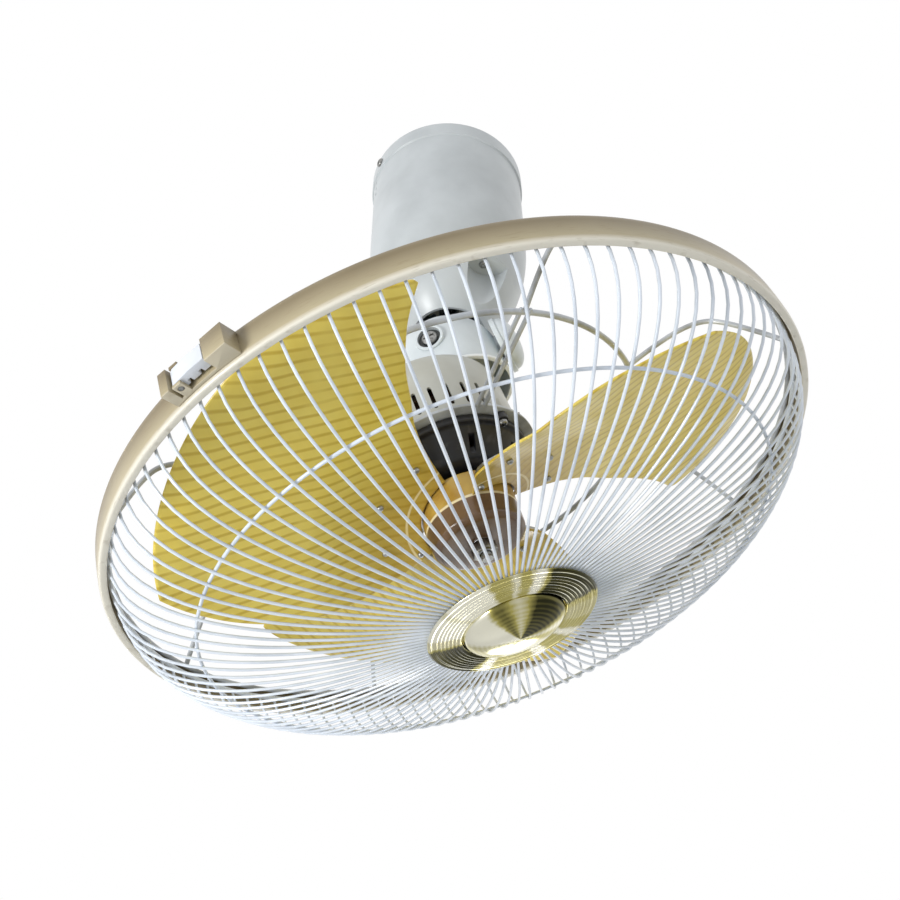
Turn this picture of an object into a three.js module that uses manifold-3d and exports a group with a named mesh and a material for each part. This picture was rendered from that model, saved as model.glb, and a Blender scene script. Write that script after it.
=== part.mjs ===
// Orbital ceiling fan, 414 mm sweep: a canopy fixed to the ceiling, a bent crank that turns inside it, and
// a caged fan head carried on the crank's slanted journal, so the blade axis goes round in a cone.
// Millimetres, +Z up. The origin is the centre of the ceiling plate's top face, and +X is the way the
// head leans at rest. The head's own frame has its Z up the blade axis, away from the front guard, and its
// origin where that axis meets the plane of the guard band's rear edge.
import * as THREE from "three";
import { mergeVertices } from "three/addons/utils/BufferGeometryUtils.js";
import Module from "manifold-3d";

const wasm = await Module();
wasm.setup();

// ---- driving dimensions -------------------------------------------------------------------------------
const GAP = 0.3; // clearance between pieces that touch
const DEG = Math.PI / 180;
const LEAN = 17.16 * DEG; // lean of the blade axis from the vertical
const SWIVEL_Z = -230; // where the crank's upright shaft meets its slanted journal
const BAND_CENTRE = [10.3, 0, -359.4]; // origin of the head's frame

const PLATE = { r: 60, thick: 3 };
const CANOPY = { r: 65, collarR: 66.5, collarH: 16, shoulderZ: -96, bowlDepth: 108, bulge: 1.85, mouthR: 28, wall: 2.5 };
const POCKET = { angle: -57 * DEG, r: 52, toolR: 18, ceiling: -149 };
const SHAFT_R = 8;
const FRAME = { r: 56, z: -112, thick: 5, hubR: 19 };
const GEAR = { teeth: 24, module: 2.3, z: -143, thick: 6 };
const PINION = { teeth: 8 };
const HOUSING = { r: 41, mouthR: 27, below: 28.3, wall: 3 };
const MOTOR = { r: 55.7, front: 38, rear: 98, wall: 2, slots: 30 };
const FLANGE = { rear: 37.7, front: 35.5, r: 62 }; // the rear guard's flange, clamped in the motor's joint
const BELL = { front: 10, rear: 35.2, wall: 3 };
const BOLT = { r: 55.5, angles: [-58, 62, 182] };
const ROTOR_SHAFT_R = 6;
const HUB = { r: 33, rear: 6, front: -30 };
const BLADE = { count: 3, tipR: 207, rootR: 34, thick: 2.4, middle: -142, hollow: 0.035, tipDrop: { trailing: 4.2, leading: 17.4 } };
const BAND = { r: 235, height: 20, wall: 2, lip: 5 };
const FRONT_GUARD = { wires: 108, wireR: 1.15, hoopR: 186.6, rimR: 228.4, depth: 81.7, start: 6.6, bulge: 2.45 };
const REAR_GUARD = { spokes: 8, firstSpoke: -75, wireR: 1.7, hoopR: 138, hoopZ: 38.7, rimR: 228.4 };
const CAP = { r: 55.6, z: -88.8, domeR: 33.5 };
const LATCH = { angle: -131.5, length: 44, height: 15, pinY: -12, leverEnd: 7.4, leverR: 245.2 };

// ---- materials ----------------------------------------------------------------------------------------
const finish = (color, roughness, metalness = 0) =>
  new THREE.MeshStandardMaterial({ color, roughness, metalness });
const GREY_PLASTIC = finish(0xc9cccd, 0.45);
const WARM_PLASTIC = finish(0xc6c3b8, 0.5);
const WHITE_PLASTIC = finish(0xe6e8ea, 0.4);
const BEIGE_PLASTIC = finish(0xcfc3a4, 0.45);
const BLACK_PAINT = finish(0x17171a, 0.5);
const AMBER_PLASTIC = finish(0xd9b83c, 0.3);
const WIRE_COAT = finish(0xdfe3e8, 0.35);
const GOLD_PLATE = finish(0xd8c980, 0.15, 1);
const STEEL = finish(0x9fa3a6, 0.35, 1);
const LAMINATION = finish(0x5a4a3c, 0.6, 0.6);
const COPPER = finish(0x9a5230, 0.4, 0.8);
const NYLON = finish(0xe8e4d6, 0.5);
const RUBBER = finish(0x202020, 0.8);

// ---- shape helpers ------------------------------------------------------------------------------------
function solid(geometry, matrix) {
  const g = geometry.clone();
  g.deleteAttribute("normal");
  g.deleteAttribute("uv");
  if (matrix) g.applyMatrix4(matrix);
  const merged = mergeVertices(g, 1e-4);
  return new wasm.Manifold(
    new wasm.Mesh({
      numProp: 3,
      vertProperties: new Float32Array(merged.attributes.position.array),
      triVerts: new Uint32Array(merged.index.array),
    }),
  );
}

function geometryOf(manifold) {
  const m = manifold.getMesh();
  const g = new THREE.BufferGeometry();
  g.setAttribute("position", new THREE.BufferAttribute(new Float32Array(m.vertProperties), 3));
  g.setIndex(new THREE.BufferAttribute(new Uint32Array(m.triVerts), 1));
  g.computeVertexNormals();
  return g;
}

const at = (x, y, z) => new THREE.Matrix4().makeTranslation(x, y, z);
const turned = (axis, angle) => new THREE.Matrix4().makeRotationAxis(axis, angle);
const X = new THREE.Vector3(1, 0, 0);
const Y = new THREE.Vector3(0, 1, 0);
const Z = new THREE.Vector3(0, 0, 1);

// A body of revolution about Z: its section is a closed loop of [radius, z], run anticlockwise.
function revolve(section, segments = 32, matrix) {
  const points = [...section, section[0]].map(([r, z]) => new THREE.Vector2(r, z));
  const g = new THREE.LatheGeometry(points, segments);
  g.applyMatrix4(turned(X, Math.PI / 2)); // the lathe turns about Y
  const s = solid(g);
  return matrix ? s.transform(matrix.elements) : s;
}

const ringSection = (inner, outer, low, high) => [
  [inner, low],
  [outer, low],
  [outer, high],
  [inner, high],
];
const tube = (inner, outer, low, high, segments, matrix) =>
  revolve(ringSection(inner, outer, low, high), segments, matrix);
const disc = (radius, low, high, segments, matrix) => tube(0, radius, low, high, segments, matrix);
const box = (x, y, z, matrix) => solid(new THREE.BoxGeometry(x, y, z), matrix);
const ball = (radius, segments, matrix) =>
  solid(new THREE.SphereGeometry(radius, segments, Math.round(segments / 2)), matrix);

// A round bar from one point to another.
function bar(from, to, radius, sides = 12) {
  const a = new THREE.Vector3(...from);
  const b = new THREE.Vector3(...to);
  const along = b.clone().sub(a);
  const g = new THREE.CylinderGeometry(radius, radius, along.length(), sides);
  const m = new THREE.Matrix4().makeRotationFromQuaternion(
    new THREE.Quaternion().setFromUnitVectors(Y, along.clone().normalize()),
  );
  return solid(g, m.setPosition(a.add(b).multiplyScalar(0.5)));
}

// A bent wire: a polygon section carried along a list of points in one plane, mitred at each bend.
function wire(points, radius, sides, twist = 0) {
  const at3 = points.map((p) => new THREE.Vector3(...p));
  const runs = at3.slice(1).map((p, i) => p.clone().sub(at3[i]).normalize());
  const flat = runs[0].clone().cross(runs.at(-1)).normalize();
  const vertices = at3.flatMap((centre, i) => {
    const before = runs[Math.max(i - 1, 0)];
    const after = runs[Math.min(i, runs.length - 1)];
    const along = before.clone().add(after).normalize();
    const up = new THREE.Vector3().crossVectors(flat, along).divideScalar(along.dot(after));
    return Array.from({ length: sides }, (_, k) => {
      const t = ((k + twist) / sides) * 2 * Math.PI;
      const p = centre.clone().addScaledVector(up, radius * Math.cos(t));
      return p.addScaledVector(flat, radius * Math.sin(t)).toArray();
    });
  });
  return closedTube(vertices, at3.length, sides);
}

// Joins rings of vertices into a tube with flat ends.
function closedTube(vertices, ringCount, sides) {
  const faces = [];
  for (let i = 0; i < ringCount - 1; i++)
    for (let k = 0; k < sides; k++) {
      const a = i * sides + k;
      const b = i * sides + ((k + 1) % sides);
      faces.push([a, b, b + sides], [a, b + sides, a + sides]);
    }
  const last = (ringCount - 1) * sides;
  for (let k = 1; k < sides - 1; k++) {
    faces.push([0, k + 1, k]);
    faces.push([last, last + k, last + k + 1]);
  }
  return meshSolid(vertices, faces);
}

function meshSolid(vertices, faces) {
  const made = new wasm.Manifold(
    new wasm.Mesh({
      numProp: 3,
      vertProperties: new Float32Array(vertices.flat()),
      triVerts: new Uint32Array(faces.flat()),
    }),
  );
  if (made.volume() > 0) return made;
  return meshSolid(vertices, faces.map(([a, b, c]) => [a, c, b]));
}

const joined = (solids) => solids.reduce((all, s) => all.add(s));
const cut = (body, tools) => tools.reduce((left, t) => left.subtract(t), body);
const around = (count, make) => Array.from({ length: count }, (_, i) => make((i / count) * 2 * Math.PI, i));
const turnedAbout = (s, angle) => s.transform(turned(Z, angle).elements);
const polar = (r, angle, z) => [r * Math.cos(angle), r * Math.sin(angle), z];

const group = new THREE.Group();
const head = new THREE.Group(); // the head's frame, leaning towards +X
head.rotation.y = -LEAN;
head.position.set(...BAND_CENTRE);
group.add(head);

// The swivel point in the head's frame, where the housing and the journal bearings are centred.
const swivel = new THREE.Vector3(0, 0, SWIVEL_Z)
  .sub(new THREE.Vector3(...BAND_CENTRE))
  .applyAxisAngle(Y, LEAN);
const atSwivel = at(swivel.x, 0, swivel.z);

function add(parent, name, manifold, material) {
  const mesh = new THREE.Mesh(geometryOf(manifold), material);
  mesh.name = name;
  parent.add(mesh);
}

// ---- ceiling unit: everything that stays still ----------------------------------------------------------
const CANOPY_SCREWS = [25, 205].map((a) => a * DEG);
function ceilingPlate() {
  const cableHole = disc(9, -PLATE.thick - 1, 1, 12, at(30, 0, 0));
  const screwSlots = [90, 210, 330].map((a) =>
    box(14, 6, 10, turned(Z, a * DEG).multiply(at(44, 0, 0))),
  );
  const tabs = CANOPY_SCREWS.map((a) =>
    box(2.4, 14, 13, turned(Z, a).multiply(at(PLATE.r - 1.6, 0, -PLATE.thick - 6))),
  );
  const tabHoles = CANOPY_SCREWS.map((a) => bar(polar(50, a, -8), polar(70, a, -8), 2.4, 8));
  const plate = disc(PLATE.r, -PLATE.thick, 0, 32);
  return cut(joined([plate, ...tabs]), [cableHole, ...screwSlots, ...tabHoles]);
}

function cableGrommet() {
  return tube(5, 8.7, -PLATE.thick - 2, -0.4, 12, at(30, 0, 0)).add(
    tube(5, 11.5, -PLATE.thick - 2.5, -PLATE.thick - GAP, 12, at(30, 0, 0)),
  );
}

// The canopy's outer radius at a height: straight, then a bowl fuller than a cone down to its mouth.
function canopyRadius(z) {
  const down = Math.max(CANOPY.shoulderZ - z, 0) / CANOPY.bowlDepth;
  return CANOPY.r * Math.pow(1 - Math.pow(down, CANOPY.bulge), 1 / CANOPY.bulge);
}

const mouthZ = () => {
  const side = 1 - Math.pow(CANOPY.mouthR / CANOPY.r, CANOPY.bulge);
  return CANOPY.shoulderZ - CANOPY.bowlDepth * Math.pow(side, 1 / CANOPY.bulge);
};

const heights = (from, to, steps) =>
  Array.from({ length: steps + 1 }, (_, i) => from + ((to - from) * i) / steps);

function canopyShell() {
  const turns = heights(0.78, 0, 4).map((t) => CANOPY.shoulderZ - CANOPY.bowlDepth * Math.sin(t * 90 * DEG));
  const bowl = [mouthZ(), ...turns.slice(1)].map((z) => [canopyRadius(z), z]);
  const lining = bowl.map(([r, z]) => [r - CANOPY.wall * 1.1, z + 1.2]).reverse();
  const top = -0.5;
  const upper = [
    [CANOPY.r, -CANOPY.collarH],
    [CANOPY.collarR, -CANOPY.collarH + 1],
    [CANOPY.collarR, top],
  ];
  const shell = revolve([...bowl, ...upper, [CANOPY.r - CANOPY.wall, top], ...lining], 32);
  const full = revolve([[0, mouthZ()], ...bowl, [0, CANOPY.shoulderZ]], 32);
  const { angle, r, toolR, ceiling } = POCKET;
  const column = (radius, high) => disc(radius, mouthZ() - 9, high, 16, turned(Z, angle).multiply(at(r, 0, 0)));
  const walls = column(toolR + 2, ceiling + 2).intersect(full);
  const pocket = column(toolR, ceiling);
  const screwHole = disc(1.6, ceiling - 2, ceiling + 6, 8, pocketScrewPlace());
  const ventHoles = [-21, -29, -37].map((z) =>
    bar(polar(55, -166 * DEG, z), polar(75, -166 * DEG, z), 1.5, 8),
  );
  const screwHoles = CANOPY_SCREWS.map((a) => bar(polar(55, a, -8), polar(75, a, -8), 2.4, 10));
  return cut(shell.add(walls), [pocket, screwHole, ...ventHoles, ...screwHoles]);
}
const pocketScrewPlace = () => turned(Z, POCKET.angle).multiply(at(44, 0, 0));

// The screw in the pocket's ceiling holds the canopy's bowl to the foot of the drive frame.
function pocketScrew() {
  const low = POCKET.ceiling;
  return disc(1.3, low - 1, FRAME.z - FRAME.thick - 1, 10, pocketScrewPlace()).add(
    disc(3.4, low - 2.4, low - GAP, 12, pocketScrewPlace()),
  );
}

// A pan-head screw along -X of its own frame, its head's top at the origin.
function panScrew(headR, headH, shankR, length, matrix) {
  const axisX = turned(Y, Math.PI / 2);
  const s = joined([
    revolve([[0, -headH], [headR, -headH], [0.75 * headR, 0], [0, 0]], 12),
    disc(shankR, -headH - length, -headH + 0.1, 8),
  ]);
  const slot = box(headR * 1.2, 0.9, 1.2, at(0, 0, 0));
  return cut(s, [slot]).transform(new THREE.Matrix4().multiplyMatrices(matrix, axisX).elements);
}

function hangerBracket() {
  const width = 32;
  const height = -FRAME.z - PLATE.thick - 2 * GAP;
  const legX = 46;
  const middle = -PLATE.thick - GAP - height / 2;
  const legs = [-1, 1].map((side) => box(3, width, height, at(side * legX, 0, middle)));
  const feet = [-1, 1].map((side) =>
    box(11, width, 3, at(side * (legX - 4), 0, FRAME.z + GAP + 1.5)),
  );
  const top = box(2 * legX, width, 3, at(0, 0, -PLATE.thick - GAP - 1.5));
  const cableHole = disc(12.2, -12, 0, 16, at(30, 0, 0));
  return cut(joined([top, ...legs, ...feet]), [cableHole]);
}

function orbitFrame() {
  const low = FRAME.z - FRAME.thick;
  const plate = disc(FRAME.r, low, FRAME.z, 28);
  const hub = disc(FRAME.hubR, low - 14, FRAME.z + 10, 20);
  const bore = disc(14 + GAP, low - 20, FRAME.z + 20, 16);
  const pinionHole = disc(4, low - 5, FRAME.z + 5, 12, at(0, gearDistance(), 0));
  const ribs = around(3, (a) => box(34, 3, 8, turned(Z, a + 4 * DEG).multiply(at(33, 0, low - 3.5))));
  const post = disc(4.5, POCKET.ceiling + 2 + GAP, low + 1, 12, pocketScrewPlace());
  const postHole = disc(1.3 + GAP, POCKET.ceiling, low - 0.9, 10, pocketScrewPlace());
  return cut(joined([plate, hub, post, ...ribs]), [bore, pinionHole, postHole]);
}

const gearDistance = () => ((GEAR.teeth + PINION.teeth) * GEAR.module) / 2;

const bearing = (bore, outer, low, height, matrix) =>
  tube(bore + 1.2 * GAP, outer, low, low + height, 12, matrix);

function orbitMotor() {
  const base = FRAME.z + GAP;
  const can = disc(17, base, base + 20, 28, at(0, gearDistance(), 0));
  const lugs = box(46, 8, 1.6, at(0, gearDistance(), base + 0.8));
  const shaftHole = disc(3.2, base - 1, base + 8, 12, at(0, gearDistance(), 0));
  return cut(can.add(lugs), [shaftHole]);
}

const terminalBlock = () =>
  cut(box(30, 13, 12, at(0, -30, -PLATE.thick - 4 - 6)), [
    ...[-10, 0, 10].map((x) => box(6, 20, 5, at(x, -30, -PLATE.thick - 4 - 6))),
  ]);

const capacitor = () =>
  box(38, 17, 26, at(0, -28, FRAME.z + GAP + 13)).add(box(20, 6, 4, at(0, -28, FRAME.z + GAP + 27.9)));

// ---- orbit drive ----------------------------------------------------------------------------------------
// A spur gear of trapezoid teeth: half a tooth wide at the pitch circle, less a little play.
function spurGear(teeth, bore, low, thick, firstTooth, centre) {
  const pitchR = (teeth * GEAR.module) / 2;
  const step = (2 * Math.PI) / teeth;
  const shape = new THREE.Shape();
  const corners = around(teeth, (_, i) => {
    const a = firstTooth + i * step;
    return [
      [pitchR - 1.2 * GEAR.module, a - 0.33 * step],
      [pitchR + 0.75 * GEAR.module, a - 0.1 * step],
      [pitchR + 0.75 * GEAR.module, a + 0.1 * step],
      [pitchR - 1.2 * GEAR.module, a + 0.33 * step],
    ];
  }).flat();
  corners.forEach(([r, a], i) => {
    const [x, y] = polar(r, a, 0);
    if (i) shape.lineTo(x, y);
    else shape.moveTo(x, y);
  });
  shape.closePath();
  const g = new THREE.ExtrudeGeometry(shape, { depth: thick, bevelEnabled: false, steps: 1 });
  const gear = solid(g, at(...centre, low));
  return bore ? cut(gear, [disc(bore, low - 1, low + thick + 1, 20, at(...centre, 0))]) : gear;
}

const orbitGear = () => spurGear(GEAR.teeth, SHAFT_R + GAP, GEAR.z, GEAR.thick, 90 * DEG, [0, 0]);

function drivePinion() {
  const centre = [0, gearDistance()];
  const step = (2 * Math.PI) / PINION.teeth;
  const teeth = spurGear(PINION.teeth, 0, GEAR.z - 1, GEAR.thick + 2, -90 * DEG + step / 2, centre);
  return teeth.add(disc(2.5, GEAR.z, FRAME.z + GAP + 7, 12, at(...centre, 0)));
}

// The crank: an upright shaft in the frame's bearings, bent at the swivel point into a slanted journal.
function orbitCrank() {
  const lean = new THREE.Vector3(Math.sin(LEAN), 0, -Math.cos(LEAN));
  const along = (s) => [lean.x * s, 0, SWIVEL_Z + lean.z * s];
  return joined([
    disc(SHAFT_R, SWIVEL_Z, FRAME.z + 14, 16),
    ball(SHAFT_R + 0.7, 12, at(0, 0, SWIVEL_Z)),
    bar(along(0), along(21), SHAFT_R, 16),
    bar(along(20), along(26), 5, 10),
  ]);
}

// ---- head: swivel housing and motor -----------------------------------------------------------------------
function swivelHousing() {
  const { r, mouthR, below, wall } = HOUSING;
  const mouth = Math.asin(mouthR / r);
  const arc = (radius, from, to, steps) =>
    heights(from, to, steps).map((t) => [radius * Math.sin(t), radius * Math.cos(t)]);
  const body = revolve(
    [
      [r - wall, -below],
      [r, -below],
      ...arc(r, Math.PI / 2, mouth, 4),
      ...arc(r - wall, mouth + 0.03, Math.PI / 2 - 0.05, 2),
      [16 + GAP, 2],
      [16 + GAP, -20],
      [19.3, -20],
      [19.3, -2],
      [r - wall, -2],
    ],
    24,
  );
  const boss = bar(polar(33, BOSS_ANGLE, 0), polar(42.5, BOSS_ANGLE, 0), 11, 16);
  const recess = bar(polar(40, BOSS_ANGLE, 0), polar(60, BOSS_ANGLE, 0), 8.8, 16);
  const screwHole = bar(polar(30, BOSS_ANGLE, 0), polar(60, BOSS_ANGLE, 0), 2.9, 8);
  const capSeat = bar(polar(33, CAP_ANGLE, -3), polar(60, CAP_ANGLE, -3), 10, 12);
  return cut(joined([body, boss]), [recess, screwHole, capSeat]).transform(atSwivel.elements);
}
const BOSS_ANGLE = -117 * DEG;
const CAP_ANGLE = -27 * DEG;

const pivotScrew = () =>
  panScrew(6.2, 3, 2.5, 9, atSwivel.clone().multiply(turned(Z, BOSS_ANGLE)).multiply(at(43.4, 0, 0)));

// The other pivot of the pair is under a domed cover that stands out on the housing's side.
function pivotCap() {
  const dome = revolve([[0, 42], [22, 42], [21.5, 47], [18, 52], [10, 55.5], [0, 56.5]], 20);
  const stub = disc(9.5, 36, 42.5, 12);
  const outward = new THREE.Matrix4().multiplyMatrices(
    atSwivel.clone().multiply(turned(Z, CAP_ANGLE)).multiply(at(0, 0, -3)),
    turned(Y, Math.PI / 2),
  );
  return dome.add(stub).transform(outward.elements);
}

const hexNut = (bore, outer, low, high, matrix) =>
  cut(disc(outer, low, high, 6, matrix), [disc(bore, low - 1, high + 1, 12, matrix)]);
const journalNut = () => hexNut(5 + GAP, 10.5, -25.5, -21.4, atSwivel);

function motorRearCover() {
  const { r, front, rear, wall, slots: count } = MOTOR;
  const outside = [[r, front], [r - 1.6, rear - 9], [r - 4, rear - 3], [r - 9, rear], [0, rear]];
  const inside = [[0, rear - wall], [r - 9 - wall, rear - wall], [r - 1.6 - wall, rear - 9], [r - wall, front]];
  const body = revolve([...outside, ...inside], count);
  const bearingSeat = tube(13 + GAP, 16, rear - 18, rear - wall + 0.1, 16);
  const slots = around(count, (a) =>
    box(14, 2.6, 19, turned(Z, a + Math.PI / count).multiply(at(r - 1, 0, front + 17))),
  );
  const kept = slots.filter((_, i) => Math.abs(Math.sin((i / count) * Math.PI - MOTOR_WINDOW / 2)) > 0.17);
  const sideWindow = box(24, 26, 24, turned(Z, MOTOR_WINDOW).multiply(at(r, 0, front + 8)));
  return cut(cut(joined([body, bearingSeat]), [...kept, sideWindow]).add(joined(boltEars(front, front + 9))), boltHoles(front - 3, front + 7));
}
const MOTOR_WINDOW = -12 * DEG;
const boltPlaces = () => BOLT.angles.map((a) => turned(Z, a * DEG).multiply(at(BOLT.r, 0, 0)));
const boltEars = (low, high) => boltPlaces().map((place) => disc(4.6, low, high, 10, place));
const boltHoles = (low, high) => boltPlaces().map((place) => disc(2.6, low, high, 8, place));

function statorCore() {
  const ring = tube(24.3, 46, 42, 64, 24);
  return ring.add(box(16, 20, 13, turned(Z, MOTOR_WINDOW).multiply(at(50, 0, 49.5))));
}

// An end winding: a ring whose section swells and shrinks, once for each coil.
function endWinding(low, high) {
  const stations = 24;
  const sides = 5;
  const vertices = around(stations, (a) =>
    around(sides, (t) => {
      const swell = 1 + 0.13 * Math.cos(6 * a);
      const r = 36.5 + 6.5 * swell * Math.cos(t);
      return polar(r, a, (low + high) / 2 + ((high - low) / 2) * (swell / 1.13) * Math.sin(t));
    }),
  ).flat();
  const faces = [];
  for (let i = 0; i < stations; i++)
    for (let k = 0; k < sides; k++) {
      const next = ((i + 1) % stations) * sides;
      const k2 = (k + 1) % sides;
      faces.push([i * sides + k, i * sides + k2, next + k2], [i * sides + k, next + k2, next + k]);
    }
  return meshSolid(vertices, faces);
}

function motorFrontBell() {
  const { front, rear, wall } = BELL;
  const body = revolve(
    [
      [13 + GAP, front],
      [30, front],
      [38, front + 2.5],
      [51, rear - 5.8],
      [55, rear - 5.3],
      [55, rear],
      [55 - wall, rear],
      [36, front + 2.5 + wall],
      [17, front + wall],
      [17, front + 9],
      [13 + GAP, front + 9],
    ],
    24,
  );
  const vents = around(8, (a) =>
    box(9, 4.4, 12, turned(Z, a + Math.PI / 24).multiply(at(44, 0, front + 9))),
  );
  const ears = joined(boltEars(rear - 5.5, rear));
  return cut(cut(body, vents).add(ears), boltHoles(rear - 12, rear + 2));
}

const motorBolt = (place) => {
  const under = BELL.rear - 5.7 - GAP; // the bolt passes through the bell's ear and the guard's flange
  const slot = box(7, 1, 1.6, place.clone().multiply(at(0, 0, under - 3)));
  const shank = disc(2.3, under - 0.5, MOTOR.front + 6.5, 8, place);
  return cut(shank.add(disc(3.2, under - 3, under, 8, place)), [slot]);
};

// ---- rotor: shaft, hub and blades -------------------------------------------------------------------------
function rotorShaft() {
  return joined([
    disc(ROTOR_SHAFT_R, -31, MOTOR.rear - 6, 12),
    disc(4, -42, -30.9, 10),
    disc(ROTOR_SHAFT_R + 3, 22, 26, 12),
  ]);
}

const rotorCore = () => tube(ROTOR_SHAFT_R + GAP, 23.5, 42, 64, 20);

function bladeHub() {
  const { r, rear, front } = HUB;
  return revolve(
    [
      [ROTOR_SHAFT_R + GAP, front],
      [r - 5, front],
      [r - 1.5, front + 3],
      [r, rear],
      [r - 2.5, rear],
      [r - 4.5, front + 4],
      [12, front + 3],
      [11, rear - 6],
      [ROTOR_SHAFT_R + GAP, rear - 6],
    ],
    24,
  );
}

// The blade's two edges: [radius, degrees from the blade's own line, height].
const LEADING = [
  [30, 22, 3], [55, 23.2, 7.6], [70, 24.5, 10], [90, 27, 12.2], [110, 30.3, 13.1], [135, 32.5, 14.5],
  [165, 36.4, 18.4], [190, 40.6, 22.6], [208, 22, 18],
];
const TRAILING = [
  [30, -76, -13.5], [55, -75, -15.9], [70, -70.1, -20.9], [90, -64.3, -27.2], [110, -57.7, -33.5],
  [135, -51.9, -36.1], [165, -43.6, -35.6], [190, -36.5, -34], [208, -31, -31.9],
];
function between(table, r, column = 1) {
  const i = Math.max(1, table.findIndex(([x]) => x >= r));
  const [before, after] = [table[i - 1], table[i]];
  return before[column] + ((after[column] - before[column]) * (r - before[0])) / (after[0] - before[0]);
}

const spanMiddle = (r) => ((between(TRAILING, r) + between(LEADING, r)) / 2) * DEG;
const spanHalf = (r) => ((between(LEADING, r) - between(TRAILING, r)) / 2) * DEG;

// Height of the blade's middle surface: it rises evenly from edge to edge, hollowed a little between them.
function bladeHeight(r, angle) {
  const across = (angle - spanMiddle(r)) / spanHalf(r);
  const [low, high] = [between(TRAILING, r, 2), between(LEADING, r, 2)];
  return (low + high) / 2 + ((high - low) / 2) * across + BLADE.hollow * r * (1 - across * across);
}

// A patch of that surface given a thickness: radiusAt(s, across) goes from root to tip as s goes from 0
// to 1, and angleAt(r, across) from edge to edge as across goes from -1 to 1.
function bladePatch(radiusAt, angleAt, thick, offset, rows, columns) {
  const vertices = [];
  for (const side of [1, -1])
    for (let i = 0; i <= rows; i++)
      for (let j = 0; j <= columns; j++) {
        const across = (2 * j) / columns - 1;
        const r = radiusAt(i / rows, across);
        const angle = angleAt(r, across);
        const z = bladeHeight(r, angle) + offset + (side * thick) / 2;
        vertices.push(polar(r, angle, z));
      }
  const wide = columns + 1;
  const sheet = (rows + 1) * wide;
  const faces = [];
  const quad = (a, b, c, d) => faces.push([a, b, c], [a, c, d]);
  for (let i = 0; i < rows; i++)
    for (let j = 0; j < columns; j++) {
      const a = i * wide + j;
      quad(a, a + wide, a + wide + 1, a + 1);
      quad(sheet + a, sheet + a + 1, sheet + a + wide + 1, sheet + a + wide);
    }
  for (let j = 0; j < columns; j++) {
    quad(j, j + 1, sheet + j + 1, sheet + j);
    const a = rows * wide + j;
    quad(a + 1, a, sheet + a, sheet + a + 1);
  }
  for (let i = 0; i < rows; i++) {
    const a = i * wide;
    quad(a + wide, a, sheet + a, sheet + a + wide);
    const b = i * wide + columns;
    quad(b, b + wide, sheet + b + wide, sheet + b);
  }
  return meshSolid(vertices, faces);
}

const RIVETS = [[41, -68], [61, -51], [66, -17], [59, 13]]; // radius, degrees from the blade's own line
const rivetHoles = () =>
  RIVETS.map(([r, a]) => disc(1.9, -40, 40, 8, at(...polar(r, a * DEG, 0))));
const bladeTurn = (i) => BLADE.middle * DEG + (i * 2 * Math.PI) / BLADE.count;

function blade(i) {
  const { leading, trailing } = BLADE.tipDrop;
  const tip = (across) => BLADE.tipR - (across > 0 ? leading : trailing) * Math.pow(Math.abs(across), 5);
  const radiusAt = (s, across) => BLADE.rootR + (tip(across) - BLADE.rootR) * s;
  const angleAt = (r, across) => spanMiddle(r) + spanHalf(r) * across;
  const sheet = bladePatch(radiusAt, angleAt, BLADE.thick, 0, 8, 8);
  return turnedAbout(cut(sheet, rivetHoles()), bladeTurn(i));
}

// A steel arm behind each blade's root, nearly as wide as the root and riveted through it.
function bladeArm(i) {
  const thick = 2;
  const back = BLADE.thick / 2 + 3.5 * GAP + thick / 2;
  const radiusAt = (s, across) => HUB.r + GAP + (76 - 12 * across * across - HUB.r) * s;
  const angleAt = (r, across) => spanMiddle(r) + 0.94 * spanHalf(r) * across;
  const plate = bladePatch(radiusAt, angleAt, thick, back, 3, 6);
  const rivets = RIVETS.map(([r, a]) => {
    const angle = a * DEG;
    const face = bladeHeight(r, angle);
    const spot = at(...polar(r, angle, 0));
    return disc(1.5, face - 2.6, face + back, 6, spot).add(disc(2.3, face - 3.9, face - 2.5, 8, spot));
  });
  return turnedAbout(joined([plate, ...rivets]), bladeTurn(i));
}

const hubNut = () => hexNut(4 + GAP, 9, -38, -31.4);

// ---- guards -----------------------------------------------------------------------------------------------
function guardBand() {
  const { r, height, wall, lip } = BAND;
  return revolve(
    [
      [r - lip, -height],
      [r, -height],
      [r, 0],
      [r - lip, 0],
      [r - lip, -wall],
      [r - wall, -wall],
      [r - wall, -height + wall],
      [r - lip, -height + wall],
    ],
    54,
  );
}

// The front guard's section: a rounded basket, fuller than an ellipse.
function frontProfile(t) {
  const { rimR, depth, start, bulge } = FRONT_GUARD;
  const r = rimR * Math.pow(Math.cos(t), 2 / bulge);
  return [r, -start - depth * Math.pow(Math.sin(t), 2 / bulge)];
}

function frontGuard() {
  const { wires, wireR, hoopR, rimR, depth, start } = FRONT_GUARD;
  const corners = [0.03, 0.3, 0.6, 0.94, 1.443].map(frontProfile);
  corners.slice(1, 4).forEach((p, i) => (p[0] += 1.2 - 0.45 * i, p[1] -= 0.4 + 0.4 * i)); // as the curve bulges
  const [, , above, below] = corners; // the middle hoop is welded inside the run between these two
  const drop = Math.atan2(above[1] - below[1], above[0] - below[0]);
  const inset = wireR + 1.4 - 0.4;
  const middleR = hoopR - inset * Math.sin(drop);
  const middleZ = above[1] - (above[0] - hoopR) * Math.tan(drop) + inset * Math.cos(drop);
  const hoops = [
    squareHoop(rimR - 0.1, -start - 4, 3.4, 0),
    squareHoop(middleR, middleZ, 2.8, drop),
    squareHoop(43, -start - depth + 0.35, 3.6, 0, wires / 4),
  ];
  const radial = around(wires, (a) =>
    turnedAbout(wire(corners.map(([r, z]) => [r, 0, z]), wireR, 3), a + Math.PI / wires),
  );
  return wasm.Manifold.union([...hoops, ...radial]);
}

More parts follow.
